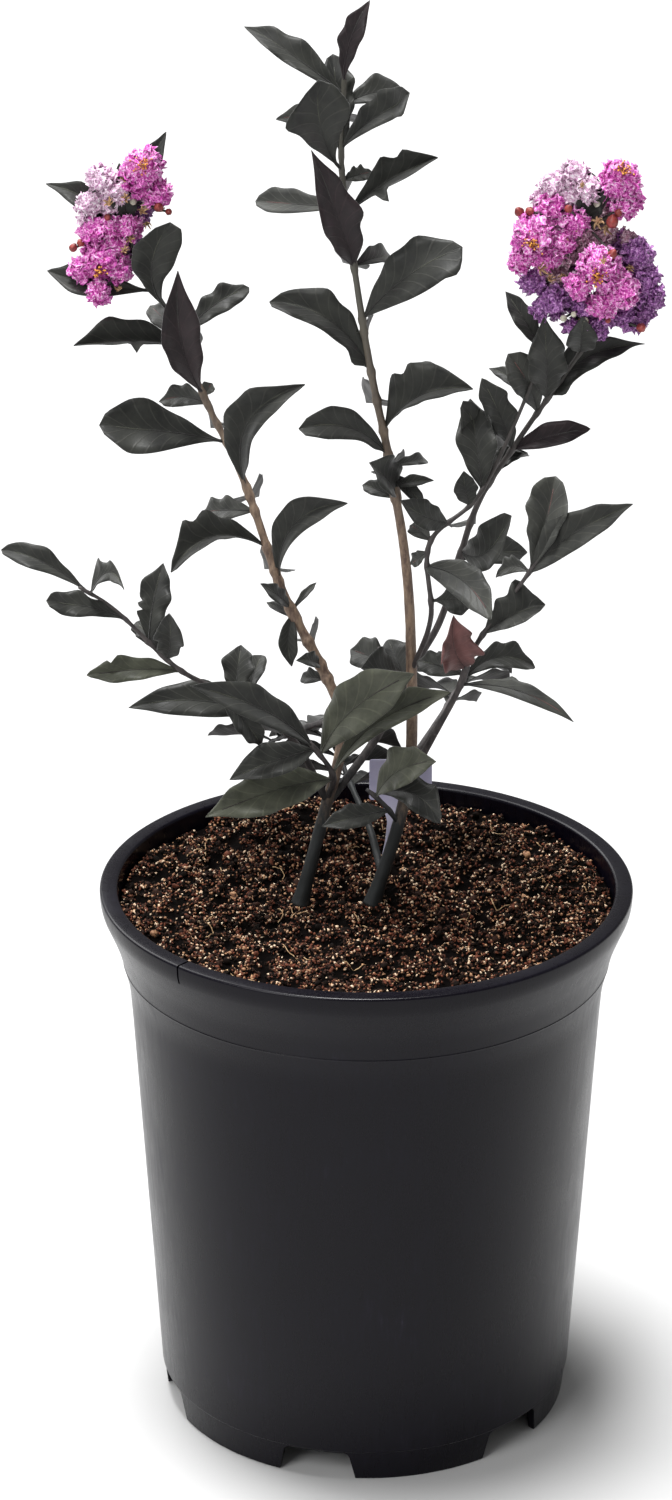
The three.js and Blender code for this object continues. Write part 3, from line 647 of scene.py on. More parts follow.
# A flower head is a stalk from the tip of its stem with round clusters of crinkled petals and with buds, both
# (x, y, z, radius). Hearts are where an open floret shows its stamens, and calyxes are spent florets.
blooms = {
    "left_bloom": {
        "stem": "left_stem",
        "stalk": [[-112, 53, 615], [-122, 52, 640], [-116, 52, 662]],
        "radius": [1.2, 0.8],
        "lobes": {
            "pink": [
                (-114, 48, 674, 10.9), (-107, 49, 662, 7.4), (-139, 49, 641, 7.9), (-130, 50, 643, 6.9),
                (-121, 49, 644, 6.4), (-115, 50, 665, 7.4), (-136, 48, 628, 9.9), (-146, 48, 622, 6.4),
                (-127, 48, 622, 7.4), (-137, 41, 611, 6.1), (-113, 62, 667, 8), (-128, 50, 634, 6.4),
            ],
            "pale": [
                (-135, 52, 668, 7.4), (-141, 51, 655, 6.9), (-127, 50, 662, 6.9), (-143, 52, 647, 4.9),
                (-134, 62, 660, 7), (-132, 52, 655, 5.9),
            ],
            # violet lobes on the back of the bloom: painted shade
            "violetShade": [
                (-116, 60, 652, 7.9), (-130, 61, 648, 7.9), (-124, 61, 630, 7.9), (-121, 61, 663, 7.9),
                (-130, 58, 638, 6.4), (-118, 60, 646, 6.4), (-126, 58, 656, 7), (-133, 59, 614, 5.5),
            ],
        },
        "hearts": [(-113, 38, 679), (-137, 39, 623)],
        "calyxes": [
            (-123, 46, 668), (-122, 46, 659), (-120, 45, 638), (-123, 44, 632), (-111, 47, 647),
            (-114, 47, 652), (-130, 45, 656), (-127, 42, 611), (-106, 50, 651),
        ],
        "buds": {
            "red": [
                (-106, 46, 655, 3.3), (-101, 48, 652, 2.4), (-132, 45, 650, 2.4), (-150, 48, 633, 2.9),
                (-146, 47, 636, 2.8),
            ],
            "cream": [(-119, 49, 657, 2.4), (-113, 49, 655, 2.4)],
        },
        "leaves": [
            (3, -80, 74, 54, 23, 0.16, {"foot": 1.6, "tip": 0.4}), (16, 180, 10, 56, 15, 0.08, {"foot": 1.8}),
            (40, 170, 36, 56, 13, -0.1), (64, 10, 66, 42, 10), (52, 150, 82, 34, 13),
        ],
    },
    "right_bloom": {
        "stem": "right_stem",
        "stalk": [[108, 5, 615], [106, 3, 640], [112, 2, 664]],
        "radius": [1.1, 0.8],
        "lobes": {
            "pink": [
                (125, -2, 683, 10.4), (128, 0, 670, 7.4), (83, -4, 657, 11.4), (76, -2, 642, 6.4),
                (89, -4, 645, 7.4), (91, 0, 669, 7.4), (103, -2, 661, 7.4), (115, -10, 641, 11.3),
                (105, -10, 631, 6.9), (127, -8, 628, 9.4), (117, -6, 620, 7.4), (124, 14, 671, 9),
                (90, 14, 650, 10), (97, -4, 652, 6.4), (122, -8, 634, 7),
            ],
            "pale": [
                (102, 4, 684, 7.4), (92, 2, 679, 6.4), (109, 0, 677, 6.4), (85, 4, 672, 4.4),
                (107, 16, 671, 8.5), (99, 2, 674, 5.4),
            ],
            # violet lobes on the back and underside of the bloom: painted shade
            "violetShade": [
                (134, 2, 643, 8.4), (139.5, 2, 630, 7.4), (139, 4, 614, 6.2), (130, 2, 612, 7.2),
                (121, 2, 612, 5.9), (82, 2, 629, 6.4), (93, 0, 621, 7.4), (87, 2, 615, 4.9),
                (134, 4, 633, 8.9), (133, 4, 622, 8.4), (102, 6, 624, 8.4), (95, 6, 615, 6.4),
                (143, 4, 620, 5.9), (136, 4, 608, 5.6), (116, 2, 603, 4.4), (125, 8, 649, 4.9),
                (103, 2, 606, 4.4), (108, 4, 616, 7.4), (122, 18, 636, 13), (100, 20, 630, 11),
                (112, 2, 607, 4.9), (125, 4, 619, 6.4),
            ],
            "mauve": [
                (112, 4, 650, 5.9), (120, 4, 654, 4.4), (129, 6, 650, 4.4), (100, 2, 643, 5.4),
                (116, 10, 662, 6.9), (96, 6, 631, 7.4), (101, 8, 652, 8.4), (110, 6, 643, 8.4),
                (94, 8, 622, 6.4), (90, 8, 634, 6.9), (106, 4, 654, 7.4), (118, 8, 652, 7.4),
            ],
        },
        "hearts": [(126, -11, 690), (81, -14, 653), (113, -20, 638)],
        "calyxes": [
            (104, -6, 658), (98, -5, 654), (115, -3, 662), (118, -2, 659), (86, -8, 640), (90, -8, 633),
            (98, -5, 635), (107, -4, 680), (117, -19, 645), (131, -6, 639), (109, 0, 610),
        ],
        "buds": {
            "red": [
                (75, -4, 667, 3.3), (80, -6, 668, 3), (99, -9, 670, 2.8), (121, -8, 663, 4.2),
                (121, -14, 648, 3.3), (137, -4, 607, 3.3), (120, -8, 612, 1.9), (124, -6, 667, 2.8),
            ],
            "cream": [(114, 0, 670, 2.8), (98, -4, 612, 2.4), (103, -4, 614, 2), (109, -4, 611, 2)],
        },
        "leaves": [(58, 60, 82, 34, 14, 0, {"tip": 0.6}), (60, 20, 84, 30, 12, 0, {"tip": 0.6})],
    },
}

for bloom in blooms.values():
    bloom["route"] = [stems[bloom["stem"]]["route"][-1], *bloom["stalk"]]
for limb in [*stems.values(), *sprays.values(), *blooms.values()]:
    limb["curve"] = routeCurve(limb["route"])


def radiusOf(limb, distance):
    # a limb's radius at a distance in metres along it
    thick, thin = limb["radius"]
    share = distance / limb["curve"]["length"]
    flare = limb.get("flare", 0) * math.exp(-distance / mm / barkForm["flareHeight"])
    return (thick + (thin - thick) * share + flare) * mm


barkForm = {
    "sides": 18,
    "twigSides": 12,
    "step": 1.6,
    "flareHeight": 9,
    "lump": 0.07, "crease": 0.05,  # shares of the radius
    "lumps": (0.7, 120), "creases": (2.6, 260),  # how close they are, round the limb and along it
    "node": 0.35,  # the swelling at a leaf joint
    "nodeLength": 2.2,
}


def addLimb(mesh, limb, start, end, joints, sides):
    # a stretch of a limb with its bark's relief, from one distance to another in metres
    steps = max(3, round((end - start) / (barkForm["step"] * mm)))
    points = [onCurve(limb["curve"], start + (end - start) * k / steps) for k in range(steps + 1)]

    def radiusAt(v):
        distance = start + (end - start) * v
        swelling = sum(math.exp(-((distance / mm - joint) / barkForm["nodeLength"]) ** 2) for joint in joints)
        return radiusOf(limb, distance) * (1 + barkForm["node"] * min(swelling, 1))

    def relief(u, v):
        distance = start + (end - start) * v
        turn = u * math.tau
        ring = Vector((math.cos(turn), math.sin(turn), 0))
        (lumpsRound, lumpsAlong), (creasesRound, creasesAlong) = barkForm["lumps"], barkForm["creases"]
        lump = noise.noise(ring * lumpsRound + Vector((0, 0, distance * lumpsAlong)))
        crease = noise.noise(ring * creasesRound + Vector((9, 0, distance * creasesAlong)))
        return barkForm["lump"] * lump - barkForm["crease"] * abs(crease)

    tube(mesh, points, radiusAt, sides, 0, relief)


barkHeights = {"darkFoot": (0.352, 0.388), "young": (0.5, 0.64), "wander": 0.03}  # metres above the ground


def barkMaterial(name, foot, trunk, flake, young):
    # smooth young crape bark: nearly black towards the foot, then a thin tan skin that flakes off in small
    # scales, and grey-green where the wood is this year's
    material, shader = newMaterial(name, Roughness=0.6)
    place = objectPlace(material)
    stretched = add(material, "Mapping", {"Vector": place}, Scale=(1, 1, 0.3)).outputs["Vector"]
    scales = noiseAt(material, stretched, 2.6, 5, Roughness=0.7)
    skin = ramp(material, scales, (0.38, trunk), (0.62, flake))
    height = add(material, "SeparateXYZ", {"Vector": place}).outputs["Z"]
    height = calculate(material, "MULTIPLY_ADD", scales, barkHeights["wander"], height)
    # darker towards the foot of the stems
    darkFoot = blend(material, between(material, height, *barkHeights["darkFoot"]), linear(foot), skin)
    colour = blend(material, between(material, height, *barkHeights["young"]), darkFoot, linear(young))
    material.node_tree.links.new(colour, shader.inputs["Base Color"])
    bump(material, shader, scales, 0.35, 0.9)
    return material


tanBark = barkMaterial("tan young bark", "#15191a", "#57443a", "#8d7763", "#4f4d45")
darkBark = barkMaterial("dark twig bark", "#15191a", "#2b2728", "#4a4443", "#35332f")
stemLooks = {"left_stem": tanBark, "middle_stem": tanBark, "left_shoot": tanBark, "middle_shoot": tanBark}

for name, stem in stems.items():
    mesh = bmesh.new()
    joints = [leaf[0] for shoot in shoots.values() if shoot["stem"] == name for leaf in shoot["leaves"]]
    addLimb(mesh, stem, 0, stem["bare"] * mm, joints, barkForm["sides"])
    addPiece(mesh, name + "_bark", [stemLooks.get(name, darkBark)], "bark", name)
    stem["joints"] = joints
print("stems are grown")


# Leaves
leafForm = {
    "across": 10,
    "along": 28,
    "base": 1.15,  # how the blade widens from its foot, and narrows to its tip
    "tip": 0.92,
    "petiole": 0.9,  # half its width
    "thickness": 0.4,
    "fold": 0.26,  # how far the edges rise, as a share of the width
    "wave": 0.09,  # of the margin, as a share of the width
    "waves": 3,
    "waveFrom": (0.1, 0.4),  # where the waves start and are full
    "hook": 0.06,  # how far the tip turns, as a share of the length
    "hookFrom": (0.7, 1.05),
    "twist": 8,  # degrees at the tip
    "rib": 0.42,  # radius of the midrib
    "crowd": 0.55,  # how far the corners are drawn to the midrib
    "narrow": (0.25, 0.76, 0.94),  # how much slimmer the tip is, and where that starts and is full
}
# each leaf's own share of a trait lies between these
leafVariety = {
    "fold": (0.5, 1.3), "wave": (0.5, 1.5), "hook": (-1, 1.6), "twist": (-1, 1), "waves": (0.75, 1.35),
}

tints = ["charcoal", "olive", "plum", "grey", "bud"]
leafLooks = []
for name, dark, light, vein, dull in [
        ("charcoal leaf", "#1f201e", "#30312d", "#5a5952", "#1f1c1c"),
        ("olive leaf", "#34362c", "#4c4e42", "#72745f", "#2a2722"),
        ("plum leaf", "#1b1417", "#2a1f22", "#4c3c3e", "#20161a"),
        ("grey leaf", "#2d2e2c", "#40413c", "#65655d", "#282726"),
        ("bud leaf", "#4a302f", "#6e4a48", "#8a6661", "#3a2a2a")]:
    leafLooks.append(leafMaterial(name, dark, light, vein, 0.46))
    leafLooks.append(leafMaterial(name + " underside", dull, dark, vein, 0.62))


# Which way a leaf's upper side turns, by its bearing
def toFront(bearing):
    return front


def toBack(bearing):
    return back


def onEdge(bearing):
    return bearing + (90 if bearing < back else -90)


def addLeaf(mesh, root, leaf, facing, random):
    special = {}
    if isinstance(leaf[-1], dict):
        *leaf, special = leaf
    _, bearing, rise, length, width, *rest = leaf
    sweep, lean, arch = (*rest, *usual[len(rest):])
    along = direction(bearing, rise)
    face = direction(facing(bearing), 90 - lean)
    face = (face - along * face.dot(along)).normalized()
    side = along.cross(face)
    length, width = length * mm, width * mm
    material = 2 * tints.index(special.get("tint", "charcoal"))

    def drawn(trait):
        return leafForm[trait] * random.uniform(*leafVariety[trait])

    traits = ("fold", "wave", "hook", "twist")
    fold, wave, hook, twist = [special.get(trait, drawn(trait)) for trait in traits]
    foot, point = special.get("foot", leafForm["base"]), special.get("tip", leafForm["tip"])
    widest = foot / (foot + point)
    full = widest ** foot * (1 - widest) ** point
    phases = {hand: random.uniform(0, math.tau) for hand in (-1, 1)}
    waves = {hand: drawn("waves") for hand in (-1, 1)}
    narrow, narrowFrom, narrowTo = leafForm["narrow"]

    def middle(share):
        bow = length * 4 * share * (1 - share)
        curl = hook * length * smoothStep(*leafForm["hookFrom"], share)
        return root + along * (share * length) + face * (arch * bow + curl) - side * (sweep * bow)

    def place(u, v):
        across = 2 * u - 1
        across *= 1 - leafForm["crowd"] * (1 - across * across)
        hand = 1 if across > 0 else -1
        blade = v ** foot * (1 - v) ** point / full * (1 - narrow * smoothStep(narrowFrom, narrowTo, v))
        swing = math.sin(waves[hand] * math.tau * v + phases[hand]) * smoothStep(*leafForm["waveFrom"], v)
        swell = 1 + 0.7 * wave * swing
        for spot, at, height, spread in special.get("lobes", []):
            if spot * hand > 0:
                swell += height * math.exp(-((v - at) / spread) ** 2)
        half = max(width * 0.54 * blade * swell, leafForm["petiole"] * mm * (1 - v))
        lift = fold * width * blade * abs(across) ** 1.1
        lift += wave * width * swing * abs(across) ** 2 * blade
        turn = math.radians(twist) * v
        out = side * math.cos(turn) + face * math.sin(turn)
        above = face * math.cos(turn) - side * math.sin(turn)
        return middle(v) + out * (across * half) + above * lift

    bentGrid(mesh, leafForm["across"], leafForm["along"], place, material)
    rib = [middle(share / 16) for share in range(15)]
    tube(mesh, rib, lambda v: leafForm["rib"] * mm * (1.7 - 1.4 * v ** 0.4), 5, material + 1)


def leavesBehind(count, spread, first, length, seed):
    # rows for the leaves on a shoot's far side, now to one side and now to the other
    draws = seededRandom(seed)
    leaves = []
    for i in range(count):
        at = first + (length - first) * (i + 0.5) / count
        turn = (1 if i % 2 else -1) * spread * (0.4 + 0.6 * next(draws))
        size = behindLeaf["length"] + behindLeaf["longer"] * next(draws)
        droop = behindLeaf["droop"] * math.cos(math.radians(turn))
        leaves.append((at, back + turn, -droop, size, size * behindLeaf["width"], 0, behindLeaf["lean"],
                       {"wave": behindLeaf["wave"]}))
    return leaves


def addLeaves(mesh, curve, leaves, facing, random):
    for leaf in leaves:
        addLeaf(mesh, onCurve(curve, min(leaf[0] * mm, curve["length"])), leaf, facing, random)


def finishLeaves(mesh, name, node):
    # the blades get their thickness, and an underside of its own look
    piece = addPiece(mesh, name, leafLooks, "foliage", node)
    addModifier(piece, "SOLIDIFY", thickness=leafForm["thickness"] * mm, offset=-1, material_offset=1,
                use_even_offset=False)


def growMass(name, limb, leaves, hidden, facing, bare, random):
    # a mass of leaves, and the twig that bears them from where its limb is no longer bare
    mesh = bmesh.new()
    addLeaves(mesh, limb["curve"], leaves, toFront, random)
    addLeaves(mesh, limb["curve"], hidden, facing, random)
    finishLeaves(mesh, name + "_leaves", name)
    twig = bmesh.new()
    joints = limb.get("joints", [leaf[0] for leaf in leaves]) + [leaf[0] for leaf in hidden]
    addLimb(twig, limb, bare * mm, limb["curve"]["length"], joints, barkForm["twigSides"])
    addPiece(twig, name + "_twig", [stemLooks.get(name, darkBark)], "bark", name)


for seed, (name, shoot) in enumerate(shoots.items()):
    stem = stems[shoot["stem"]]
    hidden = leavesBehind(shoot["behind"], shoot.get("spread", behindLeaf["spread"]),
                          stem["bare"] + behindLeaf["inset"], stem["curve"]["length"] / mm, seed)
    facing = onEdge if shoot["leaves"] else toBack
    growMass(name, stem, shoot["leaves"], hidden, facing, stem["bare"] - 1, Random(seed + 40))
for seed, (name, spray) in enumerate(sprays.items()):
    growMass(name, spray, spray["leaves"], [], toFront, 0, Random(seed + 80))
print("leaves are grown")


# Blossom
ruffle = {
    "kinds": 12,
    "spokes": 14,
    "rings": 2,
    "waves": (3, 4, 5),  # frills round its margin
    "frill": 0.4,  # height of a frill, as a share of the radius
    "cup": 0.25,
    "tears": (0.1, 0.06),  # broad and narrow ones, as shares of the radius
    "crease": 0.3,
    "radius": (2.6, 4.4),
    "spacing": 4.65,  # mm between ruffles on a cluster
    "reach": (0.84, 0.34),  # how far out of a cluster they stand, and how much that varies
    "astray": 0.7,
    "deep": (0.3, 0.35),  # how many of the pink ones take the shaded deep petal, and how many fewer on top of a cluster: painted shade on a cluster's underside
    "thickness": 0.2,
    "core": 0.8,  # how much of a cluster its inner petals fill
    "hide": 0.7,  # how much of a cluster hides the ruffles of others
}


def ruffleKind(random):
    # one crinkled petal seen from above: a round blade whose margin is frilled and torn
    phases = [random.uniform(0, math.tau) for _ in range(3)]
    waves = random.choice(ruffle["waves"])
    seat = Vector([random.uniform(0, 50) for _ in range(3)])
    broad, narrow = ruffle["tears"]

    def place(u, v):
        turn = u * math.tau
        reach = v * (0.9 + broad * math.sin(3 * turn + phases[0]) + narrow * math.sin(7 * turn + phases[1]))
        spot = Vector((math.cos(turn), math.sin(turn), 0)) * reach
        frill = ruffle["frill"] * v ** 1.4 * math.sin(waves * turn + phases[2] + 2.4 * v)
        crease = ruffle["crease"] * v * noise.noise(spot * 3 + seat)
        return spot + Vector((0, 0, ruffle["cup"] * v * v + frill + crease))

    mesh = bmesh.new()
    bentGrid(mesh, ruffle["spokes"], ruffle["rings"], place)
    bmesh.ops.remove_doubles(mesh, verts=mesh.verts[:], dist=1e-6)
    return kindOf(mesh)


def filamentKind(random):
    # a thread that rises and bows over
    bow = random.uniform(0.2, 0.5)
    mesh = bmesh.new()
    tube(mesh, [Vector((bow * (k / 4) ** 2, 0, k / 4)) for k in range(5)], lambda v: 0.035, 4)
    return kindOf(mesh)


def budKind():
    # a round bud with six ridges and a short point
    mesh = bmesh.new()
    bmesh.ops.create_uvsphere(mesh, u_segments=18, v_segments=8, radius=1)
    for corner in mesh.verts:
        x, y, z = corner.co
        ridge = 1 + 0.09 * math.cos(6 * math.atan2(y, x)) * (1 - z ** 2)
        corner.co = Vector((x * ridge, y * ridge, z + 0.35 * max(z, 0) ** 6))
    return kindOf(mesh)


def calyxKind(random):
    # what a spent floret leaves: a cup with six curled points
    mesh = bmesh.new()
    curl = random.uniform(0.5, 1.3)
    for sixth in range(6):
        turn = sixth * math.tau / 6 + random.uniform(-0.2, 0.2)
        out = Vector((math.cos(turn), math.sin(turn), 0))
        side = Vector((-out.y, out.x, 0))

        def place(u, v):
            bend = curl * v * math.pi / 2
            stem = out * math.sin(bend) * 0.8 + Vector((0, 0, 0.9 * v + 0.3 * math.cos(bend)))
            return stem + side * ((u - 0.5) * 0.34 * (1 - v) ** 0.5 + 0.2 * math.sin(3 * v + sixth))

        bentGrid(mesh, 2, 5, place)
    return kindOf(mesh)


petalRandom = Random(7)
ruffleKinds = [ruffleKind(petalRandom) for _ in range(ruffle["kinds"])]
filamentKinds = [filamentKind(petalRandom) for _ in range(4)]
ridgedBud = budKind()
calyxKinds = [calyxKind(petalRandom) for _ in range(4)]
anther = crumbKind(5, 4, petalRandom)
coreKinds = [crumbKind(14, 10, petalRandom, 0.84, 1.1) for _ in range(3)]
petalLooks = [
    petalMaterial("bright petal", "#b8349c", "#f07fd6", "#ffe9fb"),
    petalMaterial("pale petal", "#bd86b0", "#eccbe2", "#fffaff"),
    # a dark violet for the blossom's shaded back and underside: painted shade
    petalMaterial("violet petal", "#5a2a66", "#9a58a2", "#d6a6da"),
    petalMaterial("faded petal", "#8a6472", "#cf9db4", "#f5e2ea"),
    # a darker copy of the bright petal: painted shade
    petalMaterial("deep petal", "#9c1e80", "#d94fbc", "#fbb4e8"),
]
petalTints = {"pink": 0, "pale": 1, "violetShade": 2, "mauve": 3}
shadedPetal = 4
pollen, golden, wine = 0, 1, 2
heartLooks = [
    plainMaterial("orange pollen", "#b8601a", "#eeb04a", 1.5, 0.7),
    plainMaterial("golden filament", "#b96a35", "#e0a45c", 2, 0.5),
    plainMaterial("wine filament", "#5c1722", "#96404a", 2, 0.5),
]
calyxLook = 2
budLooks = [
    plainMaterial("red bud", "#662020", "#9c403a", 2.5, 0.45),
    plainMaterial("cream bud", "#a3a18c", "#dcd9c8", 2.5, 0.5),
    plainMaterial("tan calyx", "#5f4630", "#cfa97e", 1.6, 0.6),
]


def outwards(count):
    # directions spread evenly all round
    for i in range(count):
        level = 1 - 2 * (i + 0.5) / count
        turn = i * math.pi * (3 - math.sqrt(5))
        width = math.sqrt(1 - level ** 2)
        yield Vector((math.cos(turn) * width, math.sin(turn) * width, level))


def astray(random, size):
    return size * Vector([random.uniform(-1, 1) for _ in range(3)])


def clusterPetals(cluster, others, tint, random):
    # ruffles stand out of a cluster all round, but not where another cluster hides them
    *heart, radius = cluster
    heart = Vector(heart)
    hiding = [(Vector(other[:3]), ruffle["hide"] * other[3]) for other in others if other is not cluster]
    least, varied = ruffle["reach"]
    deep, fewer = ruffle["deep"]
    copies = []
    for out in outwards(round(4 * math.pi * radius ** 2 / ruffle["spacing"] ** 2) + 3):
        reach = radius * (least + varied * noise.noise(out * 1.7 + heart))
        spot = heart + out * reach
        if any((spot - middle).length < inside for middle, inside in hiding):
            continue
        lean = (out + astray(random, ruffle["astray"])).normalized()
        size = random.uniform(*ruffle["radius"]) * min(1, 0.55 + radius / 16)
        look = petalTints[tint]
        # pink ruffles on a cluster's underside more often take the deep petal: painted shade
        if tint == "pink" and random.random() < deep - fewer * out.z:
            look = shadedPetal
        kind = random.choice(ruffleKinds)
        spin = random.uniform(0, math.tau)
        copies.append((kind, turnTo((spot - lean * 0.3 * size) * mm, lean, spin, (size * mm,) * 3), look))
    return copies


stamens = {
    "count": 26, "outer": 9,  # the first ones are the longer, wine-red ones
    "long": (6, 8.5), "short": (2.6, 4.6),
    "astray": (0.9, 0.6),  # of the outer and the inner ones
    "anther": (0.5, 0.5, 0.4),
}


def heartStamens(place, random):
    # a tuft of golden stamens, with longer ones that bow out of it
    copies = []
    for i in range(stamens["count"]):
        outer = i < stamens["outer"]
        lean = (Vector((0, -0.85, 0.5)) + astray(random, stamens["astray"][0 if outer else 1])).normalized()
        length = random.uniform(*stamens["long" if outer else "short"]) * mm
        foot = Vector(place) * mm - lean * 0.3 * length + astray(random, 1.4 * mm)
        turn = turnTo(foot, lean, random.uniform(0, math.tau), (length,) * 3)
        kind = random.choice(filamentKinds)
        copies.append((kind, turn, wine if outer else golden))
        tip = turn @ Vector(kind["corners"][-1])
        copies.append((anther, turnTo(tip, lean, 0, Vector(stamens["anther"]) * mm), pollen))
    return copies


def growBloom(name, seed):
    bloom = blooms[name]
    random = Random(seed)
    lobes = [(tint, lobe) for tint, group in bloom["lobes"].items() for lobe in group]
    buds = [(look, bud) for look, group in enumerate(bloom["buds"].values()) for bud in group]
    clusters = [lobe for _, lobe in lobes]

    def join(part, looks, copies, thickness=None):
        piece = addPiece(strew(name, copies), name + part, looks, "blossom", name)
        if thickness:
            addModifier(piece, "SOLIDIFY", thickness=thickness * mm, offset=0)

    def facing(out, size):
        return (Vector(out) + astray(random, size)).normalized()

    copies = []
    for tint, lobe in lobes:
        copies += clusterPetals(lobe, clusters, tint, random)
    join("_petals", petalLooks, copies, ruffle["thickness"])
    copies = []
    for tint, (*spot, radius) in lobes:
        # the inner petals of a pink cluster take the deep petal: painted shade in the gaps between ruffles
        look = shadedPetal if tint == "pink" else petalTints[tint]
        kind = random.choice(coreKinds)
        spin = random.uniform(0, 6)
        copies.append((kind, turnTo(Vector(spot) * mm, up, spin, (ruffle["core"] * radius * mm,) * 3), look))
    join("_inner_petals", petalLooks, copies)
    join("_stamens", heartLooks, [copy for heart in bloom["hearts"] for copy in heartStamens(heart, random)])
    copies = []
    for look, (*spot, radius) in buds:
        lean = facing((0, -0.6, 0.6), 0.6)
        copies.append((ridgedBud, turnTo(Vector(spot) * mm, lean, 0, (0.74 * radius * mm,) * 3), look))
    join("_buds", budLooks, copies)
    copies = []
    for spot in bloom["calyxes"]:
        lean = facing((0, -0.8, 0.4), 0.7)
        size = random.uniform(2.8, 4.6) * mm
        kind = random.choice(calyxKinds)
        copies.append((kind, turnTo(Vector(spot) * mm, lean, 0, (size,) * 3), calyxLook))
    join("_calyxes", budLooks, copies, 0.3)
    mesh = bmesh.new()
    addLeaves(mesh, bloom["curve"], bloom["leaves"], toFront, random)
    finishLeaves(mesh, name + "_leaves", name)
    stalk = bmesh.new()
    addLimb(stalk, bloom, 0, bloom["curve"]["length"], [], 10)
    forks = [onCurve(bloom["curve"], share * bloom["curve"]["length"]) for share in (0.3, 0.5, 0.7, 0.9)]
    for *spot, _ in clusters + [bud for _, bud in buds]:
        heart = Vector(spot) * mm
        fork = min(forks, key=lambda end: (end - heart).length)
        tube(stalk, [fork.lerp(heart, k / 6) for k in range(7)], lambda v: 0.7 * mm, 6)
    addPiece(stalk, name + "_stalks", [darkBark], "blossom", name)


for seed, name in enumerate(blooms):
    growBloom(name, seed + 3)
print("blossom is grown")


# Pot
pot = {
    "height": 299.5, "footRadius": 109, "footHeight": 17, "footStep": 0.8, "wallFootRadius": 111.8,
    "shoulderRadius": 124.9, "shoulderHeight": 232, "coveRadius": 126.2, "coveHeight": 247,
    "collarRadius": 129.2, "collarHeight": 259, "flareRadius": 132.4, "flareHeight": 271.5,
    "lipFootRadius": 136.4, "lipFootHeight": 281.5, "lipRadius": 141, "lipHeight": 291, "lipLean": 0.5,
    "lipWidth": 9.5, "lipRound": 1.5, "bead": 0.25,
    "wall": 2, "floorHeight": 16, "dishRadius": 36, "dishSlope": 8,
    "notches": 6, "firstNotch": -104, "notchFoot": 42, "notchTop": 35, "notchHeight": 16.5, "notchDepth": 14,
    "notchRound": 3, "facets": 192,
}
slit = {"bearing": -133.3, "bottom": 289, "top": 301, "width": 1.1, "depth": 14, "radius": 137}


def makePot():
    # the outline of its wall, underside and inside, spun round Z
    wall, floorHeight = pot["wall"], pot["floorHeight"]
    lipInner = pot["lipRadius"] - pot["lipWidth"]
    dish = pot["dishRadius"]
    # (radius, height, how far the corner is rounded)
    outline = [
        (dish, 0, 0.8), (dish + pot["dishSlope"], floorHeight, 1),
        (pot["footRadius"] - 2 * wall, floorHeight, 1), (pot["footRadius"] - 2 * wall, 0, 0.5),
        (pot["footRadius"], 0, 0.6),
        (pot["wallFootRadius"] - pot["footStep"], pot["footHeight"], 0.3),
        (pot["wallFootRadius"], pot["footHeight"] + pot["footStep"], 0.4),
        (pot["shoulderRadius"], pot["shoulderHeight"], 6), (pot["coveRadius"], pot["coveHeight"], 5),
        (pot["collarRadius"], pot["collarHeight"] - pot["bead"] * 2, 0.5),
        (pot["collarRadius"] + pot["bead"], pot["collarHeight"], 0.3),
        (pot["collarRadius"], pot["collarHeight"] + pot["bead"] * 2, 0.5),
        (pot["flareRadius"], pot["flareHeight"], 4), (pot["lipFootRadius"], pot["lipFootHeight"], 1.2),
        (pot["lipRadius"] - pot["lipLean"], pot["lipHeight"], 3),
        (pot["lipRadius"], pot["height"], pot["lipRound"]), (lipInner, pot["height"], pot["lipRound"]),
        (pot["flareRadius"] - wall, pot["flareHeight"], 2),
        (pot["collarRadius"] - wall, pot["collarHeight"], 2),
        (pot["coveRadius"] - wall, pot["coveHeight"], 2),
        (pot["wallFootRadius"] - wall, floorHeight + wall, 1.5),
        (dish + pot["dishSlope"], floorHeight + wall, 1), (dish, wall, 1),
    ]
    mesh = bmesh.new()
    corners = [mesh.verts.new((r * mm, 0, z * mm)) for r, z, _ in outline]
    for pair in zip(corners, corners[1:]):
        mesh.edges.new(pair)
    for corner, (_, _, rounding) in zip(corners[1:-1], outline[1:-1]):
        roundCorners(mesh, [corner], rounding, 4)
    for end in [vert for vert in mesh.verts if len(vert.link_edges) == 1]:
        mesh.edges.new((end, mesh.verts.new((0, 0, end.co.z))))
    bmesh.ops.spin(mesh, geom=mesh.verts[:] + mesh.edges[:], cent=(0, 0, 0), axis=(0, 0, 1), angle=math.tau,
                   steps=pot["facets"], use_merge=True)
    closeSeams(mesh)
    return mesh


def turnedCutter(mesh, bearing):
    # a shape that was made at the front is turned to its bearing
    turn = Matrix.Rotation(math.radians(bearing - front), 3, "Z")
    bmesh.ops.rotate(mesh, verts=mesh.verts[:], matrix=turn)
    bmesh.ops.recalc_face_normals(mesh, faces=mesh.faces[:])
    return meshData("cutter", mesh)


def notchCutter(bearing):
    # one drainage notch: narrower at the top, with rounded corners
    mesh = bmesh.new()
    foot, top, height, beyond = pot["notchFoot"] / 2, pot["notchTop"] / 2, pot["notchHeight"], 8
    outline = [(-foot, -1), (foot, -1), (top, height), (-top, height)]
    mesh.faces.new([mesh.verts.new((x * mm, 0, z * mm)) for x, z in outline])
    roundCorners(mesh, [vert for vert in mesh.verts if vert.co.z > 0], pot["notchRound"], 5)
    extrude(mesh, (0, (pot["notchDepth"] + beyond) * mm, 0))
    bmesh.ops.translate(mesh, verts=mesh.verts[:], vec=(0, (-pot["footRadius"] - beyond) * mm, 0))
    return turnedCutter(mesh, bearing)


def slitCutter():
    # a short split through the lip, to the left of the front
    mesh = bmesh.new()
    height = slit["top"] - slit["bottom"]
    bmesh.ops.create_cube(mesh, size=1)
    bmesh.ops.scale(mesh, verts=mesh.verts[:], vec=Vector((slit["width"], slit["depth"], height)) * mm)
    middle = Vector((0, -slit["radius"], slit["bottom"] + height / 2)) * mm
    bmesh.ops.translate(mesh, verts=mesh.verts[:], vec=middle)
    return turnedCutter(mesh, slit["bearing"])


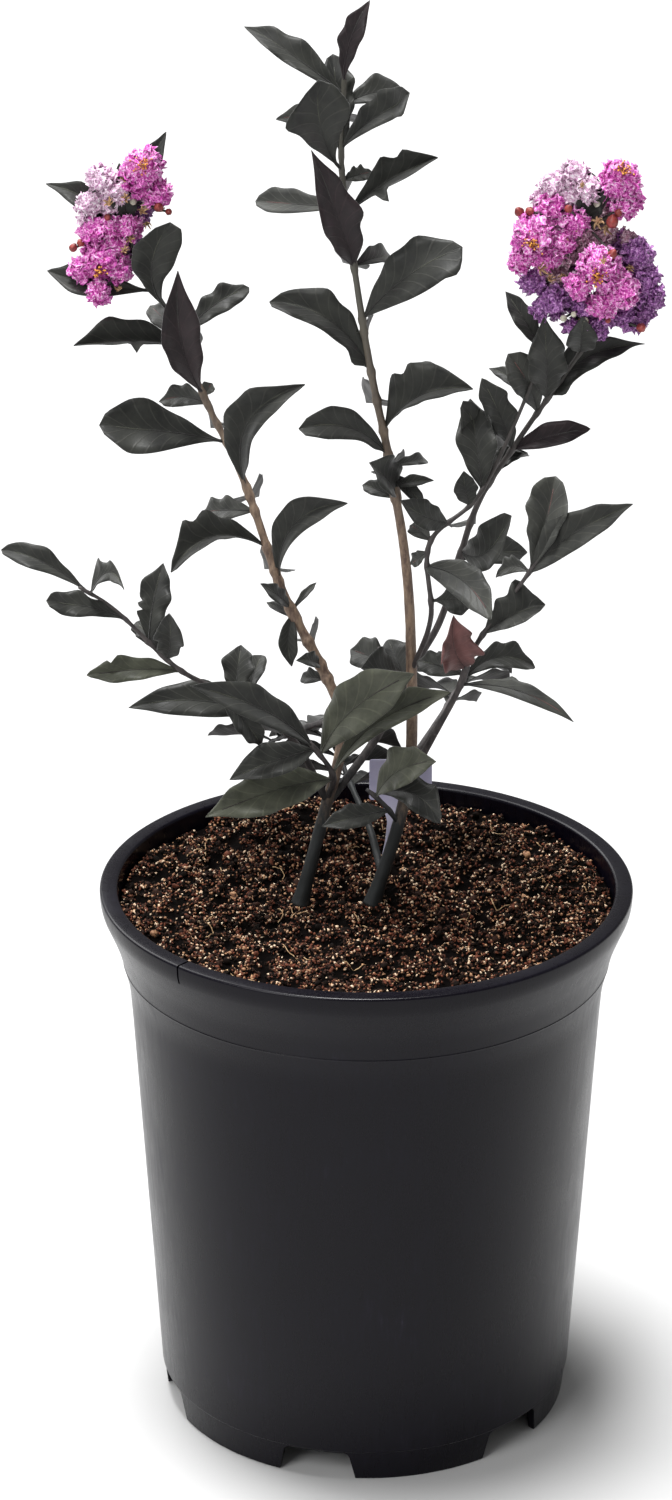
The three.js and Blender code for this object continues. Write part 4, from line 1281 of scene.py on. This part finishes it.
def cut(piece, cutters):
    # takes the cutters' shapes out of a piece, and bakes the result into its mesh
    holder = bpy.data.collections.new("cutters")
    for data in cutters:
        holder.objects.link(bpy.data.objects.new("cutter", data))
    addModifier(piece, "BOOLEAN", operation="DIFFERENCE", solver="EXACT", operand_type="COLLECTION",
                collection=holder)
    applyModifiers(piece)
    for cutter in list(holder.objects):
        bpy.data.objects.remove(cutter)
    bpy.data.collections.remove(holder)


def applyModifiers(piece):
    graph = bpy.context.evaluated_depsgraph_get()
    data = bpy.data.meshes.new_from_object(piece.evaluated_get(graph), depsgraph=graph)
    piece.modifiers.clear()
    piece.data = data


def potMaterial():
    # moulded black polypropylene: satin, with a fine mould texture, faint scuffs and a little dust
    material, shader = newMaterial("satin black polypropylene", IOR=1.49, Specular_IOR_Level=0.2)
    place = objectPlace(material)
    scuff = add(material, "Mapping", {"Vector": place}, Scale=(1, 1, 0.12)).outputs["Vector"]
    streaks = noiseAt(material, scuff, 3, 6, Roughness=0.7)
    dirt = calculate(material, "MULTIPLY", streaks, noiseAt(material, place, 60, 5, Roughness=0.6))
    ramp(material, dirt, (0.2, "#05030b"), (0.33, "#07050f"), (0.44, "#13101c"), (0.52, "#403c4a"),
         target=shader.inputs["Base Color"])
    rough = between(material, dirt, 0.15, 0.45, To_Min=0.24, To_Max=0.4)
    material.node_tree.links.new(rough, shader.inputs["Roughness"])
    bump(material, shader, noiseAt(material, place, 0.9, 2), 0.05, 0.5)
    return material


piece = addPiece(makePot(), "pot_shell", [potMaterial()], "pot", "pot")
notches = [notchCutter(pot["firstNotch"] + i * 360 / pot["notches"]) for i in range(pot["notches"])]
cut(piece, notches + [slitCutter()])
addModifier(piece, "BEVEL", width=0.35 * mm, segments=2, limit_method="ANGLE", angle_limit=math.radians(50))
piece.data.shade_smooth()
piece.data.set_sharp_from_angle(angle=math.radians(35))
print("pot is made")


# Potting mix
mix = {
    "level": 290, "bump": 2.6, "levelRound": 16,
    "lumps": 3.6,  # height of its clods
    "reach": 129.2,
    "mound": 0.3,  # nothing lies where the mix is lower than this share of a clod, so the near-black skin shows there as painted shade
    # the radius of the least and the largest crumb, how many take each look from peat to pale wood, and how
    # far they stand out of the mix, as a share of the radius
    "crumbs": {"count": 17500, "radius": (0.7, 1.5), "looks": (52, 30, 14, 3, 1), "raised": 0.2},
    "grains": {"count": 13000, "radius": (0.7, 1.15), "looks": (8, 26, 28, 25, 13), "raised": 0.5},
    "chips": {"count": 420, "radius": (1.2, 2.8), "looks": (64, 26, 8, 2, 0), "raised": 0.1},
    "crumbShape": ((0.9, 1.4), (0.6, 1), (0.4, 0.8)),  # its least and largest shares of the radius, each way
    "fibres": {"count": 34, "length": (7, 20), "radius": 0.26},
    "gap": 0.35,  # between the mix and the pot
    "rings": 84, "spokes": 230,
}


def mixHeight(x, y):
    # broad waves that leave it level round the stems' feet, and clods
    feet = [stems["left_stem"]["route"][0], stems["middle_stem"]["route"][0]]
    wave = math.sin(x * 0.071 + 0.6) * math.cos(y * 0.083 - 1.1) + 0.6 * math.sin((x - y) * 0.117)
    nearest = min(math.hypot(x - foot[0], y - foot[1]) for foot in feet)
    level = smoothStep(mix["levelRound"], 2.2 * mix["levelRound"], nearest)
    return mix["level"] + mix["bump"] * 0.6 * wave * level + mix["lumps"] * clods(x, y)


def clods(x, y):
    # how high the mix is heaped at a place, from -1 to 1: hollows lie between its clods, where the near-black
    # skin is painted shade
    return max(min(noise.fractal(Vector((x, y, 0)) * 0.105, 0.9, 2.1, 4), 1), -1)


def makeMix():
    # its heaped top, and then a plain skin down inside the pot
    inside = pot["wall"] + mix["gap"]
    rim = pot["flareRadius"] - inside
    floorHeight = pot["floorHeight"] + inside
    side = [
        (rim, mix["level"] - 2), (rim, pot["flareHeight"] + 1),
        (pot["collarRadius"] - inside, pot["collarHeight"]), (pot["coveRadius"] - inside, pot["coveHeight"]),
        (pot["wallFootRadius"] - pot["wall"] - 2, floorHeight),
        (pot["dishRadius"] + pot["dishSlope"] - 1, floorHeight), (pot["dishRadius"] - 2, inside), (0, inside),
    ]
    rings = mix["rings"]

    def place(u, v):
        turn = Vector((math.cos(u * math.tau), math.sin(u * math.tau), 0))
        k = round(v * (rings + len(side)))
        if k > rings:
            radius, z = side[k - rings - 1]
            return (turn * radius + up * z) * mm
        spot = turn * (rim - 1) * k / rings
        return (spot + up * mixHeight(spot.x, spot.y)) * mm

    mesh = bmesh.new()
    bentGrid(mesh, mix["spokes"], rings + len(side), place)
    closeSeams(mesh)
    return mesh


mixRandom = Random(21)
# dark peat, made near-black as painted shade for the hollows and the gaps between crumbs
shadedMixSkin = plainMaterial("shadowed potting mix", "#020101", "#070403", 3, 0.95, 1.0, Specular_IOR_Level=0.05)
crumbLooks = [
    plainMaterial(name, dark, light, 1.5, roughness, Specular_IOR_Level=shine)
    for name, dark, light, roughness, shine in [
        ("peat crumb", "#060403", "#140c08", 0.9, 0.1),
        ("dark bark chip", "#1a0f0a", "#341f16", 0.8, 0.15),
        ("red bark chip", "#3c1d12", "#6e3c28", 0.7, 0.2),
        ("tan bark chip", "#75503a", "#b58c68", 0.6, 0.25),
        ("pale wood chip", "#b8977a", "#ecd6b8", 0.6, 0.25),
    ]
]


def mixSpot(reach):
    # a place anywhere on the mix
    radius = reach * math.sqrt(mixRandom.random())
    turn = mixRandom.uniform(0, math.tau)
    return radius * math.cos(turn), radius * math.sin(turn)


def strewCrumbs(name, kinds):
    part = mix[name]
    least, largest = part["radius"]
    copies = []
    while len(copies) < part["count"]:
        x, y = mixSpot(mix["reach"])
        # crumbs are left out of the hollows, where the bare near-black skin is painted shade
        if clods(x, y) < -mix["mound"] * mixRandom.random():
            continue
        size = least + (largest - least) * mixRandom.random() ** 1.4
        look = mixRandom.choices(range(len(crumbLooks)), part["looks"])[0]
        spot = Vector((x, y, mixHeight(x, y) + part["raised"] * size)) * mm
        axis = astray(mixRandom, 1).normalized()
        shape = [size * mm * mixRandom.uniform(*shares) for shares in mix["crumbShape"]]
        copies.append((mixRandom.choice(kinds), turnTo(spot, axis, mixRandom.uniform(0, 6), shape), look))
    name = "potting_mix_" + name
    addPiece(strew(name, copies), name, crumbLooks, "potting_mix", "potting_mix")


def layFibres():
    # pale threads of coir that lie curled on the mix
    fibres = mix["fibres"]
    mesh = bmesh.new()
    for _ in range(fibres["count"]):
        x, y = mixSpot(mix["reach"] * 0.94)
        heading, curl = mixRandom.uniform(0, math.tau), mixRandom.uniform(-0.9, 0.9)
        step = mixRandom.uniform(*fibres["length"]) / 9
        points = []
        for k in range(10):
            points.append(Vector((x, y, mixHeight(x, y) + 0.9 + 0.7 * math.sin(k))) * mm)
            heading += curl / 3
            x, y = x + step * math.cos(heading), y + step * math.sin(heading)
        if math.hypot(x, y) < mix["reach"]:
            tube(mesh, points, lambda v: fibres["radius"] * mm, 4)
    straw = plainMaterial("dry coir thread", "#8a6a48", "#d0b084", 2, 0.7)
    addPiece(mesh, "potting_mix_fibres", [straw], "potting_mix", "potting_mix")


addPiece(makeMix(), "potting_mix_body", [shadedMixSkin], "potting_mix", "potting_mix")
fine = [crumbKind(5, 2, mixRandom) for _ in range(10)]
coarse = [crumbKind(7, 5, mixRandom) for _ in range(10)]
strewCrumbs("crumbs", fine)
strewCrumbs("grains", fine)
strewCrumbs("chips", coarse)
layFibres()
print("potting mix is laid")


# Tag
tag = {
    "width": 33, "height": 22, "thickness": 0.9, "corner": 1.5, "middle": [18, 9, 354.5], "lean": 8,
    # the stake's width, side shift and drop below the card
    "stake": [(14, -3, 0), (8, -3, 12), (4, -6, 22), (2.6, -14.5, 62)],
}


def makeTag():
    # a blank card with round corners on a pointed stake
    right, top = tag["width"] / 2, tag["height"] / 2
    leftSide = [(middle - width / 2, -top - drop) for width, middle, drop in tag["stake"]]
    rightSide = [(middle + width / 2, -top - drop) for width, middle, drop in reversed(tag["stake"])]
    outline = [(-right, -top), *leftSide, *rightSide, (right, -top), (right, top), (-right, top)]
    mesh = bmesh.new()
    corners = [mesh.verts.new((x * mm, 0, z * mm)) for x, z in outline]
    mesh.faces.new(corners)
    roundCorners(mesh, [corners[0], *corners[-3:]], tag["corner"], 6)
    extrude(mesh, (0, tag["thickness"] * mm, 0))
    bmesh.ops.recalc_face_normals(mesh, faces=mesh.faces[:])
    lean = Matrix.Rotation(math.radians(-tag["lean"]), 4, "X")
    mesh.transform(Matrix.Translation(Vector(tag["middle"]) * mm) @ lean)
    return mesh


lavender = plainMaterial("pale lavender card", "#aaa6c4", "#c6c3d8", 30, 0.45, 0.05)
piece = addPiece(makeTag(), "tag_card", [lavender], "tag", "tag")
addModifier(piece, "BEVEL", width=0.18 * mm, segments=2, limit_method="ANGLE", angle_limit=math.radians(50))
piece.data.set_sharp_from_angle(angle=math.radians(35))
print("tag is made")
